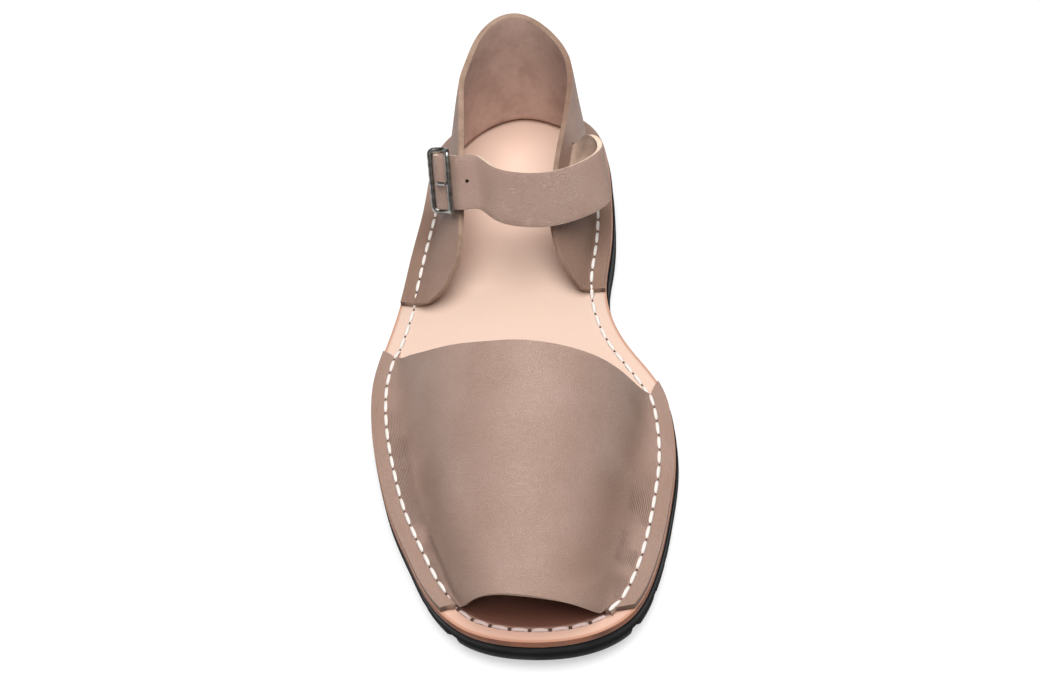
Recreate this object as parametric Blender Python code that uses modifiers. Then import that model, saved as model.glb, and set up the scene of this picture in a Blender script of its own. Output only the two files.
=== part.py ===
# Friar sandal, right shoe, empty and standing on its sole.
# Worked out in millimetres: +X towards the inner side of the foot, -Y towards the toes, +Z up.

import math

import bmesh
import bpy
import numpy as np

MM = 0.001
GAP = 0.3

# Sole and footbed.
FOREFOOT_RUBBER = 8.6
HEEL_RISE = 5.0
RISE_FRONT_Y = -15.0
RISE_LENGTH = 75.0
TOE_SPRING = 5.0
SPRING_START_Y = -62.0
SPRING_LENGTH = 72.0
HEEL_LIFT = 1.2
LIFT_START_Y = 112.0
LIFT_LENGTH = 20.0
INSOLE_THICKNESS = 2.4
SOLE_STATIONS = 46
CENTRE_SAMPLES = 721

# Tread: straight grooves across the sole, open at both sides.
TREAD_PITCH = 13.0
TREAD_FIRST_Y = -124.0
TREAD_COUNT = 20
GROOVE_WIDTH = 4.0
GROOVE_DEPTH = 4.0
GROOVE_REACH = 75.0

# Upper leather.
LEATHER = 2.2
SEAM_INSET = 5.7
FLANGE_MARGIN = 0.35
COUNTER_FILLET = 3.8
VAMP_ROWS = 15
DOME_STEPS = 8
FILLET_STEPS = 5
COUNTER_WALL_STEPS = 7
COUNTER_WALL_MAX_DEG = 88.0
COUNTER_WALL_GAIN = 1.12

# Strap, buckle tab and buckle.
STRAP_WIDTH = 20.5
STRAP_THICKNESS = 1.9
STRAP_STEP = 2.2
STRAP_END_LENGTH = 2.6
STRAP_END_DROP = 0.3
STRAP_FRONT_LENGTH = 3.4
STRAP_FRONT_DROP = 0.8
TAB_WIDTH = 15.0
TAB_THICKNESS = 1.3
TAB_STEP = 2.0
SLIT_PLAY = 0.7
TAIL_DEPTH = 3.8
WIRE_RADIUS = 0.85
BUCKLE_HALF_LENGTH = 6.1
BUCKLE_CORNER = 1.4
BUCKLE_BOW = 3.4
BUCKLE_PLAY = 0.45
PRONG_RADIUS = 0.7
PRONG_TIP = 1.4
HOLE_FORWARD = -0.7
HOLE_HALVES = (2.2, 1.2, 3.0)
SLOT_FORWARD = -0.4
SLOT_HALVES = (3.4, 1.2, 4.2)
BUCKLE_CENTRE = (-22.8, 50.8, 48.3)
BUCKLE_REARWARD = (-0.60, 0.66, -0.45)
BUCKLE_UPWARD = (0.0, 0.563, 0.826)


def table(columns, *rows):
    # Rows of a table as dictionaries with the columns' names.
    return [dict(zip(columns, row)) for row in rows]


# Insole outline, one row per section from heel to toe.
OUTLINE = table(
    ("along", "outer", "inner"),
    (129.5, 3.5, 3.5),
    (125.8, -10.5, 17.3),
    (119.8, -19.3, 26.3),
    (112.0, -26.3, 33.3),
    (103.0, -31.6, 37.2),
    (92.0, -34.2, 39.0),
    (65.0, -37.0, 39.4),
    (40.0, -41.2, 37.5),
    (20.0, -44.6, 34.8),
    (5.0, -48.2, 37.0),
    (-6.0, -51.2, 41.3),
    (-18.0, -53.4, 47.8),
    (-30.0, -53.7, 53.0),
    (-46.0, -52.2, 55.2),
    (-62.0, -49.2, 54.9),
    (-80.0, -44.6, 52.0),
    (-98.0, -37.7, 47.9),
    (-112.0, -31.6, 43.4),
    (-122.0, -24.8, 38.4),
    (-129.0, -16.5, 31.3),
    (-133.3, -5.0, 21.5),
    (-134.8, 9.0, 9.0),
)

# Side of the rubber, one row per level: part of the height, millimetres added to it, and how far
# it stands out past the insole on the outer and inner side.
SIDE = table(
    ("height_part", "height_add", "outer_outset", "inner_outset"),
    (0.0, 0.0, -1.2, -0.4),
    (0.0, 0.7, -0.3, 0.5),
    (0.0, 4.0, 0.2, 1.0),
    (0.0, 4.5, -0.2, 0.6),
    (1.0, -0.7, 0.2, 0.6),
    (1.0, 0.0, -0.2, 0.2),
)

# Vamp, one row per cross section from throat to toe.
VAMP = table(
    ("part", "outer_edge", "outer_seam", "inner_seam", "inner_edge", "height", "outer_lean", "inner_lean",
     "fillet", "wall_deg", "wall_pull", "top_pull", "ridge"),
    (0.0, -3.0, -5.0, -31.0, -26.0, 45.5, 28.5, 20.5, 5.0, 69.0, 0.56, 0.50, 0.10),
    (0.5, -58.0, -59.0, -78.0, -75.0, 34.0, 16.0, 14.0, 15.0, 63.0, 0.62, 0.30, 0.02),
    (1.0, -120.5, -122.5, -129.5, -123.5, 17.0, 4.0, 6.5, 4.0, 66.0, 0.54, 0.45, -0.08),
)

# Heel counter, one row per section from the heel back to the front ends of both sides.
COUNTER = table(
    ("along", "outer_height", "outer_inset", "inner_height", "inner_inset"),
    (129.5, 56.0, 5.6, 56.0, 5.6),
    (125.8, 53.5, 6.4, 54.5, 5.8),
    (119.8, 48.8, 7.8, 50.8, 6.0),
    (112.0, 43.7, 9.3, 46.1, 6.3),
    (103.0, 39.4, 10.8, 42.3, 7.2),
    (92.0, 34.9, 12.1, 38.0, 9.2),
    (72.0, 29.0, 13.5, 32.6, 13.3),
    (58.0, 25.8, 15.3, 29.6, 15.6),
    (43.0, 21.4, 17.8, 25.0, 16.6),
    (35.0, 17.4, 18.0, 21.2, 16.2),
    (29.5, 13.4, 17.1, 15.6, 14.4),
    (25.0, 10.0, 14.8, 10.8, 11.6),
    (21.6, 6.0, 11.0, 6.2, 8.0),
    (20.0, 2.4, 6.5, 2.0, 4.8),
)

# Strap across the front, one row per section from the buckle to the fold on the inner side.
STRAP = table(
    ("x", "y", "z", "lean_back", "lean_side"),
    (-11.6, 44.2, 52.8, 34.0, 0.0),
    (-4.7, 38.9, 51.4, 34.0, 0.0),
    (3.9, 36.3, 49.7, 34.0, 0.0),
    (13.7, 36.9, 48.0, 34.0, 0.0),
    (23.7, 40.5, 46.7, 34.0, -2.0),
    (32.4, 46.0, 45.9, 35.0, -6.0),
    (37.0, 51.9, 45.6, 37.0, -8.0),
    (35.4, 58.0, 45.0, 42.0, -4.0),
    (31.2, 61.4, 43.9, 50.0, 4.0),
)

# Where the strap and the buckle tab pass through the counter: station, part of the wall height.
INNER_SLIT = {"along": 63.0, "part": 0.72, "side": -1}
OUTER_SLIT = {"along": 66.0, "part": 0.62, "side": 1}

COLLECTION = "friar_sandal"
CUTTERS = "cutters"


def spline(knots, values):
    # Natural cubic through the rows of a table.
    x = np.array(knots, dtype=float)
    y = np.array(values, dtype=float)
    count = len(x)
    step = np.diff(x)
    matrix = np.eye(count)
    right = np.zeros_like(y)
    for i in range(1, count - 1):
        matrix[i, i - 1] = step[i - 1]
        matrix[i, i] = 2.0 * (step[i - 1] + step[i])
        matrix[i, i + 1] = step[i]
        right[i] = 3.0 * ((y[i + 1] - y[i]) / step[i] - (y[i] - y[i - 1]) / step[i - 1])
    curve = np.linalg.solve(matrix, right)

    def at(t):
        i = int(np.clip(np.searchsorted(x, t) - 1, 0, count - 2))
        d = t - x[i]
        slope = (y[i + 1] - y[i]) / step[i] - step[i] * (2.0 * curve[i] + curve[i + 1]) / 3.0
        return y[i] + d * (slope + d * (curve[i] + d * (curve[i + 1] - curve[i]) / (3.0 * step[i])))

    return at


def unit(vector):
    vector = np.array(vector, dtype=float)
    return vector / np.linalg.norm(vector)


def smooth(t):
    t = min(max(t, 0.0), 1.0)
    return t * t * (3.0 - 2.0 * t)


HEEL_Y = OUTLINE[0]["along"]
TOE_Y = OUTLINE[-1]["along"]
MID_Y = (HEEL_Y + TOE_Y) / 2.0
HALF_LENGTH = (HEEL_Y - TOE_Y) / 2.0


def station(along, side):
    # Angle on the outline: 0 at the heel back, growing over the outer side, negative over the inner.
    cosine = min(max((along - MID_Y) / HALF_LENGTH, -1.0), 1.0)
    return side * math.acos(cosine)


def outline_spline():
    turn = 2.0 * math.pi
    outer = [(station(row["along"], 1), row["outer"]) for row in OUTLINE]
    inner = [(turn + station(row["along"], -1), row["inner"]) for row in OUTLINE[-2:0:-1]]
    loop = outer + inner
    before = [(angle - turn, x) for angle, x in loop[-4:]]
    after = [(angle + turn, x) for angle, x in loop[:5]]
    rows = before + loop + after
    return spline([row[0] for row in rows], [row[1] for row in rows])


OUTLINE_X = outline_spline()


def outline(angle, inset=0.0):
    # Point of the outline moved inwards, with the inward direction.
    small = 1e-4

    def raw(a):
        return np.array((OUTLINE_X(a % (2.0 * math.pi)), MID_Y + HALF_LENGTH * math.cos(a)))

    tangent = unit(raw(angle + small) - raw(angle - small))
    inward = np.array((-tangent[1], tangent[0]))
    return raw(angle) + inward * inset, inward


def side_outset(row, angle):
    inner = (1.0 - math.sin(angle)) / 2.0
    return row["outer_outset"] + (row["inner_outset"] - row["outer_outset"]) * inner


def outline_centre():
    angles = np.linspace(0.0, 2.0 * math.pi, CENTRE_SAMPLES)
    points = np.array([outline(a, -max(side_outset(row, a) for row in SIDE))[0] for a in angles])
    return (points.min(axis=0) + points.max(axis=0)) / 2.0


CENTRE = outline_centre()


def toe_spring(y):
    return TOE_SPRING * max((SPRING_START_Y - y) / SPRING_LENGTH, 0.0) ** 2


def rubber_bottom(y):
    return toe_spring(y) + HEEL_LIFT * max((y - LIFT_START_Y) / LIFT_LENGTH, 0.0) ** 2


def rubber_top(y):
    return FOREFOOT_RUBBER + HEEL_RISE * smooth((y - RISE_FRONT_Y) / RISE_LENGTH) + toe_spring(y)


def bed_top(y):
    return rubber_top(y) + GAP + INSOLE_THICKNESS


def flange_base(y):
    return bed_top(y) + GAP


def to_metres(points):
    return [((p[0] - CENTRE[0]) * MM, (p[1] - CENTRE[1]) * MM, p[2] * MM) for p in points]


def collection(name):
    made = bpy.data.collections.new(name)
    bpy.context.scene.collection.children.link(made)
    return made


def material(name, colour, roughness, metallic=0.0):
    made = bpy.data.materials.new(name)
    made.use_nodes = True
    shader = made.node_tree.nodes["Principled BSDF"]
    shader.inputs["Base Color"].default_value = (*colour, 1.0)
    shader.inputs["Roughness"].default_value = roughness
    shader.inputs["Metallic"].default_value = metallic
    return made


def mesh_object(name, points, faces, home, surface=None):
    mesh = bpy.data.meshes.new(name)
    mesh.from_pydata(to_metres(points), [], faces)
    mesh.validate()
    if surface is not None:
        mesh.materials.append(surface)
    mesh.shade_smooth()
    made = bpy.data.objects.new(name, mesh)
    home.objects.link(made)
    if surface is None:
        made.hide_render = True
        made.display_type = "WIRE"
    return made


def grid_faces(rows, columns):
    faces = []
    for i in range(rows - 1):
        for j in range(columns - 1):
            a = i * columns + j
            faces.append((a, a + columns, a + columns + 1, a + 1))
    return faces


def sheet_object(name, rows, home, surface, thickness, offset):
    # Open surface given as rows of points, thickened to leather.
    flat = [point for row in rows for point in row]
    made = mesh_object(name, flat, grid_faces(len(rows), len(rows[0])), home, surface)
    shell = made.modifiers.new("thickness", "SOLIDIFY")
    shell.thickness = thickness * MM
    shell.offset = offset
    shell.use_even_offset = True
    return made


def stacked_object(name, levels, home, surface):
    # Closed body from loops over the sole's stations; each level is a pair of functions,
    # outset by angle and height by distance along the sole.
    angles = [math.pi * i / SOLE_STATIONS for i in range(SOLE_STATIONS + 1)]
    loop = angles + [-a for a in angles[-2:0:-1]]
    size = len(loop)
    points = []
    for outset, height in levels:
        for angle in loop:
            (x, y), _ = outline(angle, -outset(angle))
            points.append((x, y, height(y)))
    faces = []
    for level in range(len(levels) - 1):
        for i in range(size):
            j = (i + 1) % size
            a = level * size
            faces.append((a + i, a + j, a + size + j, a + size + i))
    for level, flip in ((0, True), (len(levels) - 1, False)):
        a = level * size
        for i in range(SOLE_STATIONS):
            near, far = (size - i) % size, size - i - 1
            ring = [a + i, a + i + 1, a + far, a + near]
            ring = list(dict.fromkeys(ring))
            faces.append(tuple(reversed(ring)) if flip else tuple(ring))
    return mesh_object(name, points, faces, home, surface)


def box_points(centre, axes, halves):
    points = []
    for i in (-1, 1):
        for j in (-1, 1):
            for k in (-1, 1):
                points.append(centre + axes[0] * halves[0] * i + axes[1] * halves[1] * j
                              + axes[2] * halves[2] * k)
    return points


BOX_FACES = ((0, 1, 3, 2), (4, 6, 7, 5), (0, 4, 5, 1), (2, 3, 7, 6), (0, 2, 6, 4), (1, 5, 7, 3))


def boxes_object(name, boxes, home):
    points = []
    faces = []
    for centre, axes, halves in boxes:
        start = len(points)
        points += box_points(np.array(centre), [np.array(a) for a in axes], halves)
        handed = np.dot(np.cross(axes[0], axes[1]), axes[2]) > 0.0
        for face in BOX_FACES:
            ring = face if handed else tuple(reversed(face))
            faces.append(tuple(start + i for i in ring))
    return mesh_object(name, points, faces, home)


def cut(target, cutter, operation="DIFFERENCE"):
    step = target.modifiers.new(cutter.name, "BOOLEAN")
    step.object = cutter
    step.operation = operation
    step.solver = "EXACT"


def build_outsole(home, cutters, surface):
    def outset(row):
        return lambda angle: side_outset(row, angle)

    def height(row):
        return lambda y: (rubber_bottom(y) + row["height_add"]
                          + row["height_part"] * (rubber_top(y) - rubber_bottom(y)))

    levels = [(outset(row), height(row)) for row in SIDE]
    sole = stacked_object("outsole", levels, home, surface)
    axes = np.eye(3)
    boxes = []
    for i in range(TREAD_COUNT):
        y = TREAD_FIRST_Y + i * TREAD_PITCH
        centre = (0.0, y, rubber_bottom(y))
        boxes.append((centre, axes, (GROOVE_REACH, GROOVE_WIDTH / 2.0, GROOVE_DEPTH)))
    cut(sole, boxes_object("tread_grooves", boxes, cutters))
    return sole


def build_insole(home, surface):
    def flush(_):
        return 0.0

    def underside(y):
        return rubber_top(y) + GAP

    levels = [(flush, underside), (flush, bed_top)]
    return stacked_object("insole", levels, home, surface)


def vamp_row(part):
    # Cross section at a part of the way from throat to toe, on a parabola through the three rows.
    values = {}
    for name in VAMP[0]:
        throat, middle, toe = [row[name] for row in VAMP]
        bend = 2.0 * (throat - 2.0 * middle + toe)
        values[name] = throat + part * (toe - throat - bend) + part * part * bend
    return values


def fillet_arc(radius, angle):
    # From flat to a wall rising at the angle; pairs of distance from the seam and height.
    turns = [angle * i / FILLET_STEPS for i in range(FILLET_STEPS + 1)]
    return [(radius * math.sin(turn), radius * (1.0 - math.cos(turn))) for turn in turns]


def bezier(controls, t):
    level = [np.array(c, dtype=float) for c in controls]
    while len(level) > 1:
        level = [a * (1.0 - t) + b * t for a, b in zip(level, level[1:])]
    return level[0]


def arch(width, row):
    # Cross section of the vamp from seam to seam: distance across and height.
    angle = math.radians(row["wall_deg"])
    half, height = width / 2.0, row["height"]
    section = fillet_arc(row["fillet"], angle)
    start = np.array(section[-1])
    rise = (height - start[1]) / math.sin(angle)
    wall = start + row["wall_pull"] * rise * np.array((math.cos(angle), math.sin(angle)))
    controls = (start, wall, (half - row["top_pull"] * (half - start[0]), height), (half, height))
    section += [tuple(bezier(controls, (i + 1) / DOME_STEPS)) for i in range(DOME_STEPS)]
    section += [(width - x, z) for x, z in section[-2::-1]]
    # The ridge of the last lies towards the inner side at the throat and the outer side at the toe.
    return [(x + 16.0 * row["ridge"] * width * (x / width * (1.0 - x / width)) ** 2, z) for x, z in section]


def build_vamp(home, surface):
    rows = []
    for i in range(VAMP_ROWS):
        row = vamp_row(i / (VAMP_ROWS - 1))
        outer_edge, _ = outline(station(row["outer_edge"], 1), FLANGE_MARGIN)
        outer_seam, _ = outline(station(row["outer_seam"], 1), SEAM_INSET)
        inner_edge, _ = outline(station(row["inner_edge"], -1), FLANGE_MARGIN)
        inner_seam, _ = outline(station(row["inner_seam"], -1), SEAM_INSET)
        width = np.linalg.norm(inner_seam - outer_seam)
        points = [(*outer_edge, flange_base(outer_edge[1]))]
        for across, z in arch(width, row):
            part = across / width
            flat = outer_seam + (inner_seam - outer_seam) * part
            ease = 1.0 - (1.0 - part) ** 2
            lean = row["outer_lean"] + (row["inner_lean"] - row["outer_lean"]) * ease
            forward = lean * z / row["height"]
            points.append((flat[0], flat[1] - forward, flange_base(flat[1]) + z))
        points.append((*inner_edge, flange_base(inner_edge[1])))
        rows.append(points)
    return sheet_object("vamp", rows, home, surface, LEATHER, 1.0)


def counter_profile():
    # Height and inset of the top edge against the angle on the outline.
    rows = [(station(r["along"], 1), r["outer_height"], r["outer_inset"]) for r in COUNTER]
    rows += [(station(r["along"], -1), r["inner_height"], r["inner_inset"]) for r in COUNTER[1:]]
    rows.sort()
    return [r[0] for r in rows], spline([r[0] for r in rows], [(r[1], r[2]) for r in rows])


COUNTER_KNOTS, COUNTER_EDGE = counter_profile()


def counter_section(angle):
    height, inset = COUNTER_EDGE(angle)
    wall = min(math.atan2(height, inset) * COUNTER_WALL_GAIN, math.radians(COUNTER_WALL_MAX_DEG))
    section = fillet_arc(COUNTER_FILLET, wall)
    start = np.array(section[-1])
    top = np.array((inset, height))
    reach = np.linalg.norm(top - start) / 2.0
    bend = start + reach * np.array((math.cos(wall), math.sin(wall)))
    return section, (start, bend, top)


def counter_point(angle, across, z):
    (x, y), _ = outline(angle, SEAM_INSET + across)
    (_, base_y), _ = outline(angle, SEAM_INSET)
    return np.array((x, y, flange_base(base_y) + z))


def counter_wall_point(angle, part):
    _, controls = counter_section(angle)
    return counter_point(angle, *bezier(controls, part))


def build_counter(home, surface):
    angles = []
    for a, b in zip(COUNTER_KNOTS[:-1], COUNTER_KNOTS[1:]):
        angles += [a, (a + b) / 2.0]
    angles.append(COUNTER_KNOTS[-1])
    rows = []
    for angle in angles:
        edge, _ = outline(angle, FLANGE_MARGIN)
        section, controls = counter_section(angle)
        points = [(*edge, flange_base(edge[1]))]
        points += [counter_point(angle, *pair) for pair in section]
        points += [counter_point(angle, *bezier(controls, (i + 1) / COUNTER_WALL_STEPS))
                   for i in range(COUNTER_WALL_STEPS)]
        rows.append(points)
    return sheet_object("heel_counter", rows, home, surface, LEATHER, 1.0)


def slit_frame(slit):
    # Middle of the slit in the middle of the wall, with its own axes:
    # along the slit and upwards, away from the wall outwards, and down the wall.
    angle = station(slit["along"], slit["side"])
    small = 1e-3
    along = counter_wall_point(angle - slit["side"] * small, slit["part"])
    along = unit(along - counter_wall_point(angle + slit["side"] * small, slit["part"]))
    down = counter_wall_point(angle, slit["part"] - 0.05) - counter_wall_point(angle, slit["part"] + 0.05)
    down = unit(down - along * np.dot(down, along))
    outward = np.cross(along, down) * slit["side"]
    centre = counter_wall_point(angle, slit["part"]) + outward * LEATHER / 2.0
    return centre, along, outward, down


# Path of a strap end through its slit, from the end inside: distances outwards and down the wall.
SLIT_PATH = table(
    ("outward", "down"),
    (-TAIL_DEPTH, 12.0),
    (-TAIL_DEPTH, 8.0),
    (-TAIL_DEPTH, 5.2),
    (-3.2, 2.6),
    (-2.2, 0.9),
    (-1.2, 0.15),
    (0.0, 0.0),
    (1.4, 0.0),
    (2.8, 0.0),
)


def slit_stations(frame):
    centre, along, outward, down = frame
    return [(centre + outward * row["outward"] + down * row["down"], along) for row in SLIT_PATH]


def slit_cutter(name, frame, width, thickness, home):
    centre, along, outward, down = frame
    halves = (width / 2.0 + SLIT_PLAY, LEATHER * 2.0, thickness / 2.0 + SLIT_PLAY)
    return boxes_object(name, [(centre, (along, outward, down), halves)], home)


BUCKLE_S = unit(BUCKLE_REARWARD)
BUCKLE_W = unit(np.array(BUCKLE_UPWARD) - BUCKLE_S * np.dot(BUCKLE_UPWARD, BUCKLE_S))
BUCKLE_N = np.cross(BUCKLE_W, BUCKLE_S)
BUCKLE_AXES = (BUCKLE_S, BUCKLE_W, BUCKLE_N)


def buckle_point(s, w, n):
    return np.array(BUCKLE_CENTRE) + BUCKLE_S * s + BUCKLE_W * w + BUCKLE_N * n


def ribbon(name, stations, width, thickness, steps, home, surface):
    # Band through stations of middle point and width direction.
    middles = np.array([p for p, _ in stations])
    widths = np.array([d for _, d in stations])
    travel = np.concatenate(([0.0], np.cumsum(np.linalg.norm(np.diff(middles, axis=0), axis=1))))
    path = spline(travel, np.hstack((middles, widths)))
    rows = []
    for a, b in zip(travel[:-1], travel[1:]):
        count = max(1, int(math.ceil((b - a) / steps)))
        for i in range(count):
            rows.append(path(a + (b - a) * i / count))
    rows.append(path(travel[-1]))
    sheet = []
    for row in rows:
        middle = row[:3]
        across = unit(row[3:]) * width / 2.0
        sheet.append([middle - across, middle, middle + across])
    return sheet_object(name, sheet, home, surface, thickness, 0.0)


# Paths in the buckle's own frame: distance along it, rearwards, and outwards from its middle bar.
TAB_UNDER = table(
    ("along", "out"),
    (5.6, -3.9),
    (2.6, -2.5),
)
TAB_RETURN = table(
    ("along", "out"),
    (2.0, 0.8),
    (3.7, -0.7),
    (5.2, -1.9),
)
PRONG_RISE = table(
    ("along", "out"),
    (0.1, 3.2),
    (-0.9, 4.6),
    (-2.2, 5.8),
    (-4.0, 6.2),
)

# Distances from the middle of a bar to the middle of what passes over or under it.
EASE = 0.25
STRAP_OVER = WIRE_RADIUS + GAP + TAB_THICKNESS + GAP + STRAP_THICKNESS / 2.0 + EASE
STRAP_UNDER = WIRE_RADIUS + GAP + STRAP_THICKNESS / 2.0 + EASE
PRONG_RING = WIRE_RADIUS + GAP + PRONG_RADIUS
TAB_RING = WIRE_RADIUS + GAP + TAB_THICKNESS / 2.0


def strap_wave():
    # Strap under the front bar, over the middle bar and under the rear bar, as straight runs
    # between round turns; pairs of distance along the buckle and outwards.
    half, bow = BUCKLE_HALF_LENGTH, BUCKLE_BOW
    slope = math.asin((STRAP_OVER + STRAP_UNDER) / math.hypot(half, bow)) - math.atan2(bow, half)
    side = [(STRAP_OVER * math.sin(slope / 2.0), STRAP_OVER * math.cos(slope / 2.0)),
            (STRAP_OVER * math.sin(slope), STRAP_OVER * math.cos(slope)),
            (half - STRAP_UNDER * math.sin(slope), bow - STRAP_UNDER * math.cos(slope)),
            (half, bow - STRAP_UNDER)]
    rear = side[::-1]
    front = [(-s, n) for s, n in side]
    return rear + [(0.0, STRAP_OVER)] + front


def build_strap(home, cutters, surface, frame):
    half, low = BUCKLE_HALF_LENGTH, BUCKLE_BOW - STRAP_UNDER
    end = (half + STRAP_END_LENGTH, low - STRAP_END_DROP)
    front = (-half - STRAP_FRONT_LENGTH, low - STRAP_FRONT_DROP)
    waved = [end] + strap_wave() + [front]
    stations = [(buckle_point(s, 0.0, n), BUCKLE_W) for s, n in waved]
    for row in STRAP:
        lean = (math.tan(math.radians(row["lean_side"])), math.tan(math.radians(row["lean_back"])), 1.0)
        stations.append((np.array((row["x"], row["y"], row["z"])), unit(lean)))
    stations += reversed(slit_stations(frame))
    strap = ribbon("ankle_strap", stations, STRAP_WIDTH, STRAP_THICKNESS, STRAP_STEP, home, surface)
    hole = (buckle_point(HOLE_FORWARD, 0.0, STRAP_OVER), BUCKLE_AXES, HOLE_HALVES)
    cut(strap, boxes_object("prong_hole", [hole], cutters))
    return strap


def build_tab(home, cutters, surface, frame):
    turn = [(-TAB_RING * math.sin(math.radians(a)), -TAB_RING * math.cos(math.radians(a)))
            for a in range(0, 181, 45)]
    path = [(row["along"], row["out"]) for row in TAB_UNDER]
    path += turn
    path += [(row["along"], row["out"]) for row in TAB_RETURN]
    stations = slit_stations(frame)
    stations += [(buckle_point(s, 0.0, n), BUCKLE_W) for s, n in path]
    tab = ribbon("buckle_tab", stations, TAB_WIDTH, TAB_THICKNESS, TAB_STEP, home, surface)
    slot = (buckle_point(SLOT_FORWARD, 0.0, 0.0), BUCKLE_AXES, SLOT_HALVES)
    cut(tab, boxes_object("prong_slot", [slot], cutters))
    return tab


def wire_mesh(name, path, radius, cyclic, home, surface):
    # Round wire along a path, as a closed mesh.
    data = bpy.data.curves.new(name + "_path", "CURVE")
    data.dimensions = "3D"
    data.bevel_depth = radius * MM
    data.bevel_resolution = 2
    data.use_fill_caps = not cyclic
    line = data.splines.new("POLY")
    line.points.add(len(path) - 1)
    for point, co in zip(line.points, to_metres(path)):
        point.co = (*co, 1.0)
    line.use_cyclic_u = cyclic
    made = bpy.data.objects.new(name + "_path", data)
    home.objects.link(made)
    bpy.context.view_layer.update()
    mesh = bpy.data.meshes.new_from_object(made)
    bpy.data.objects.remove(made)
    bpy.data.curves.remove(data)
    weld(mesh)
    mesh.name = name
    if surface is not None:
        mesh.materials.clear()
        mesh.materials.append(surface)
    mesh.shade_smooth()
    solid = bpy.data.objects.new(name, mesh)
    home.objects.link(solid)
    if surface is None:
        solid.hide_render = True
        solid.display_type = "WIRE"
    return solid


def weld(mesh):
    work = bmesh.new()
    work.from_mesh(mesh)
    bmesh.ops.remove_doubles(work, verts=work.verts, dist=1e-6)
    bmesh.ops.recalc_face_normals(work, faces=work.faces)
    work.to_mesh(mesh)
    work.free()


def build_buckle(home, cutters, surface):
    half = BUCKLE_HALF_LENGTH
    tall = STRAP_WIDTH / 2.0 + BUCKLE_PLAY + WIRE_RADIUS
    ring = []
    for corner, (ss, ws) in enumerate(((1, 1), (-1, 1), (-1, -1), (1, -1))):
        for i in range(5):
            angle = math.radians(90.0 * corner + 22.5 * i)
            s = ss * (half - BUCKLE_CORNER) + BUCKLE_CORNER * math.cos(angle)
            w = ws * (tall - BUCKLE_CORNER) + BUCKLE_CORNER * math.sin(angle)
            ring.append((s, w))
        if corner in (0, 2):
            ring += [(ss * half * part, ws * tall) for part in (0.3, 0.0, -0.3)]
    path = [buckle_point(s, w, BUCKLE_BOW * (s / half) ** 2) for s, w in ring]
    frame = wire_mesh("buckle_frame", path, WIRE_RADIUS, True, home, surface)
    bar = wire_mesh("buckle_bar", [buckle_point(0.0, -tall, 0.0), buckle_point(0.0, tall, 0.0)],
                    WIRE_RADIUS * 0.97, False, cutters, None)
    cut(frame, bar, "UNION")
    return frame


def build_prong(home, surface):
    rest = BUCKLE_BOW + WIRE_RADIUS + GAP + PRONG_RADIUS + EASE
    turn = [(PRONG_RING * math.cos(math.radians(a)), PRONG_RING * math.sin(math.radians(a)))
            for a in range(-110, 66, 25)]
    path = turn + [(row["along"], row["out"]) for row in PRONG_RISE]
    path += [(-BUCKLE_HALF_LENGTH, rest), (-BUCKLE_HALF_LENGTH - PRONG_TIP, rest)]
    points = [buckle_point(s, 0.0, n) for s, n in path]
    return wire_mesh("buckle_prong", points, PRONG_RADIUS, False, home, surface)


def build():
    for old in list(bpy.data.objects):
        bpy.data.objects.remove(old)
    home = collection(COLLECTION)
    cutters = collection(CUTTERS)
    rubber = material("black_rubber", (0.014, 0.015, 0.018), 0.62)
    bare = material("natural_leather", (0.80, 0.60, 0.48), 0.5)
    taupe = material("taupe_leather", (0.36, 0.26, 0.20), 0.48)
    metal = material("aged_nickel", (0.42, 0.41, 0.39), 0.32, 1.0)
    build_outsole(home, cutters, rubber)
    build_insole(home, bare)
    build_vamp(home, taupe)
    counter = build_counter(home, taupe)
    inner = slit_frame(INNER_SLIT)
    outer = slit_frame(OUTER_SLIT)
    cut(counter, slit_cutter("strap_slit", inner, STRAP_WIDTH, STRAP_THICKNESS, cutters))
    cut(counter, slit_cutter("tab_slit", outer, TAB_WIDTH, TAB_THICKNESS, cutters))
    build_strap(home, cutters, taupe, inner)
    build_tab(home, cutters, taupe, outer)
    build_buckle(home, cutters, metal)
    build_prong(home, metal)


build()
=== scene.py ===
import math

import bmesh
import bpy
import numpy as np
from mathutils import Matrix, Vector


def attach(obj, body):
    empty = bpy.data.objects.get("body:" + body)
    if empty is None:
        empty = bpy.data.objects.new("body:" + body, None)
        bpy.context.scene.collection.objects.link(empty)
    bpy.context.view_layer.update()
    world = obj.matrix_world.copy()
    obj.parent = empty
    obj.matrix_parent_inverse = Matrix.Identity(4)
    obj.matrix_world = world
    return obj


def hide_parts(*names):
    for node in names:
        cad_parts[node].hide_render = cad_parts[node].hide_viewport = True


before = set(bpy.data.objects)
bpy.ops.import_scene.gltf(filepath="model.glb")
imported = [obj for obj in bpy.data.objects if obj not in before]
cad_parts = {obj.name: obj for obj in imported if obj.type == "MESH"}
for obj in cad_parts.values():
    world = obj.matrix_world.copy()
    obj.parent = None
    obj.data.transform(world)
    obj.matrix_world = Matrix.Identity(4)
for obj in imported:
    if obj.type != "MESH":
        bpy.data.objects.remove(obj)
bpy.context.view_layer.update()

mm = 0.001
fullTurn = 2 * math.pi
nudge = 1e-4  # radians either side of a station, for the outline's tangent

# sizes in millimetres: +X inner side of the foot, -Y toes, +Z up
shoe = {
    "centre": (1.1475, -2.65), "gap": 0.3, "forefootRubber": 8.6, "heelRise": 5.0,
    "riseFront": -15.0, "riseLength": 75.0, "toeSpring": 5.0, "springStart": -62.0,
    "springLength": 72.0, "heelLift": 1.2, "liftStart": 112.0, "liftLength": 20.0,
    "insole": 2.4, "leather": 2.2, "seamInset": 5.7, "flangeMargin": 0.35, "counterFillet": 3.8,
    "stitchPitch": 6.55,
}

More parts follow.
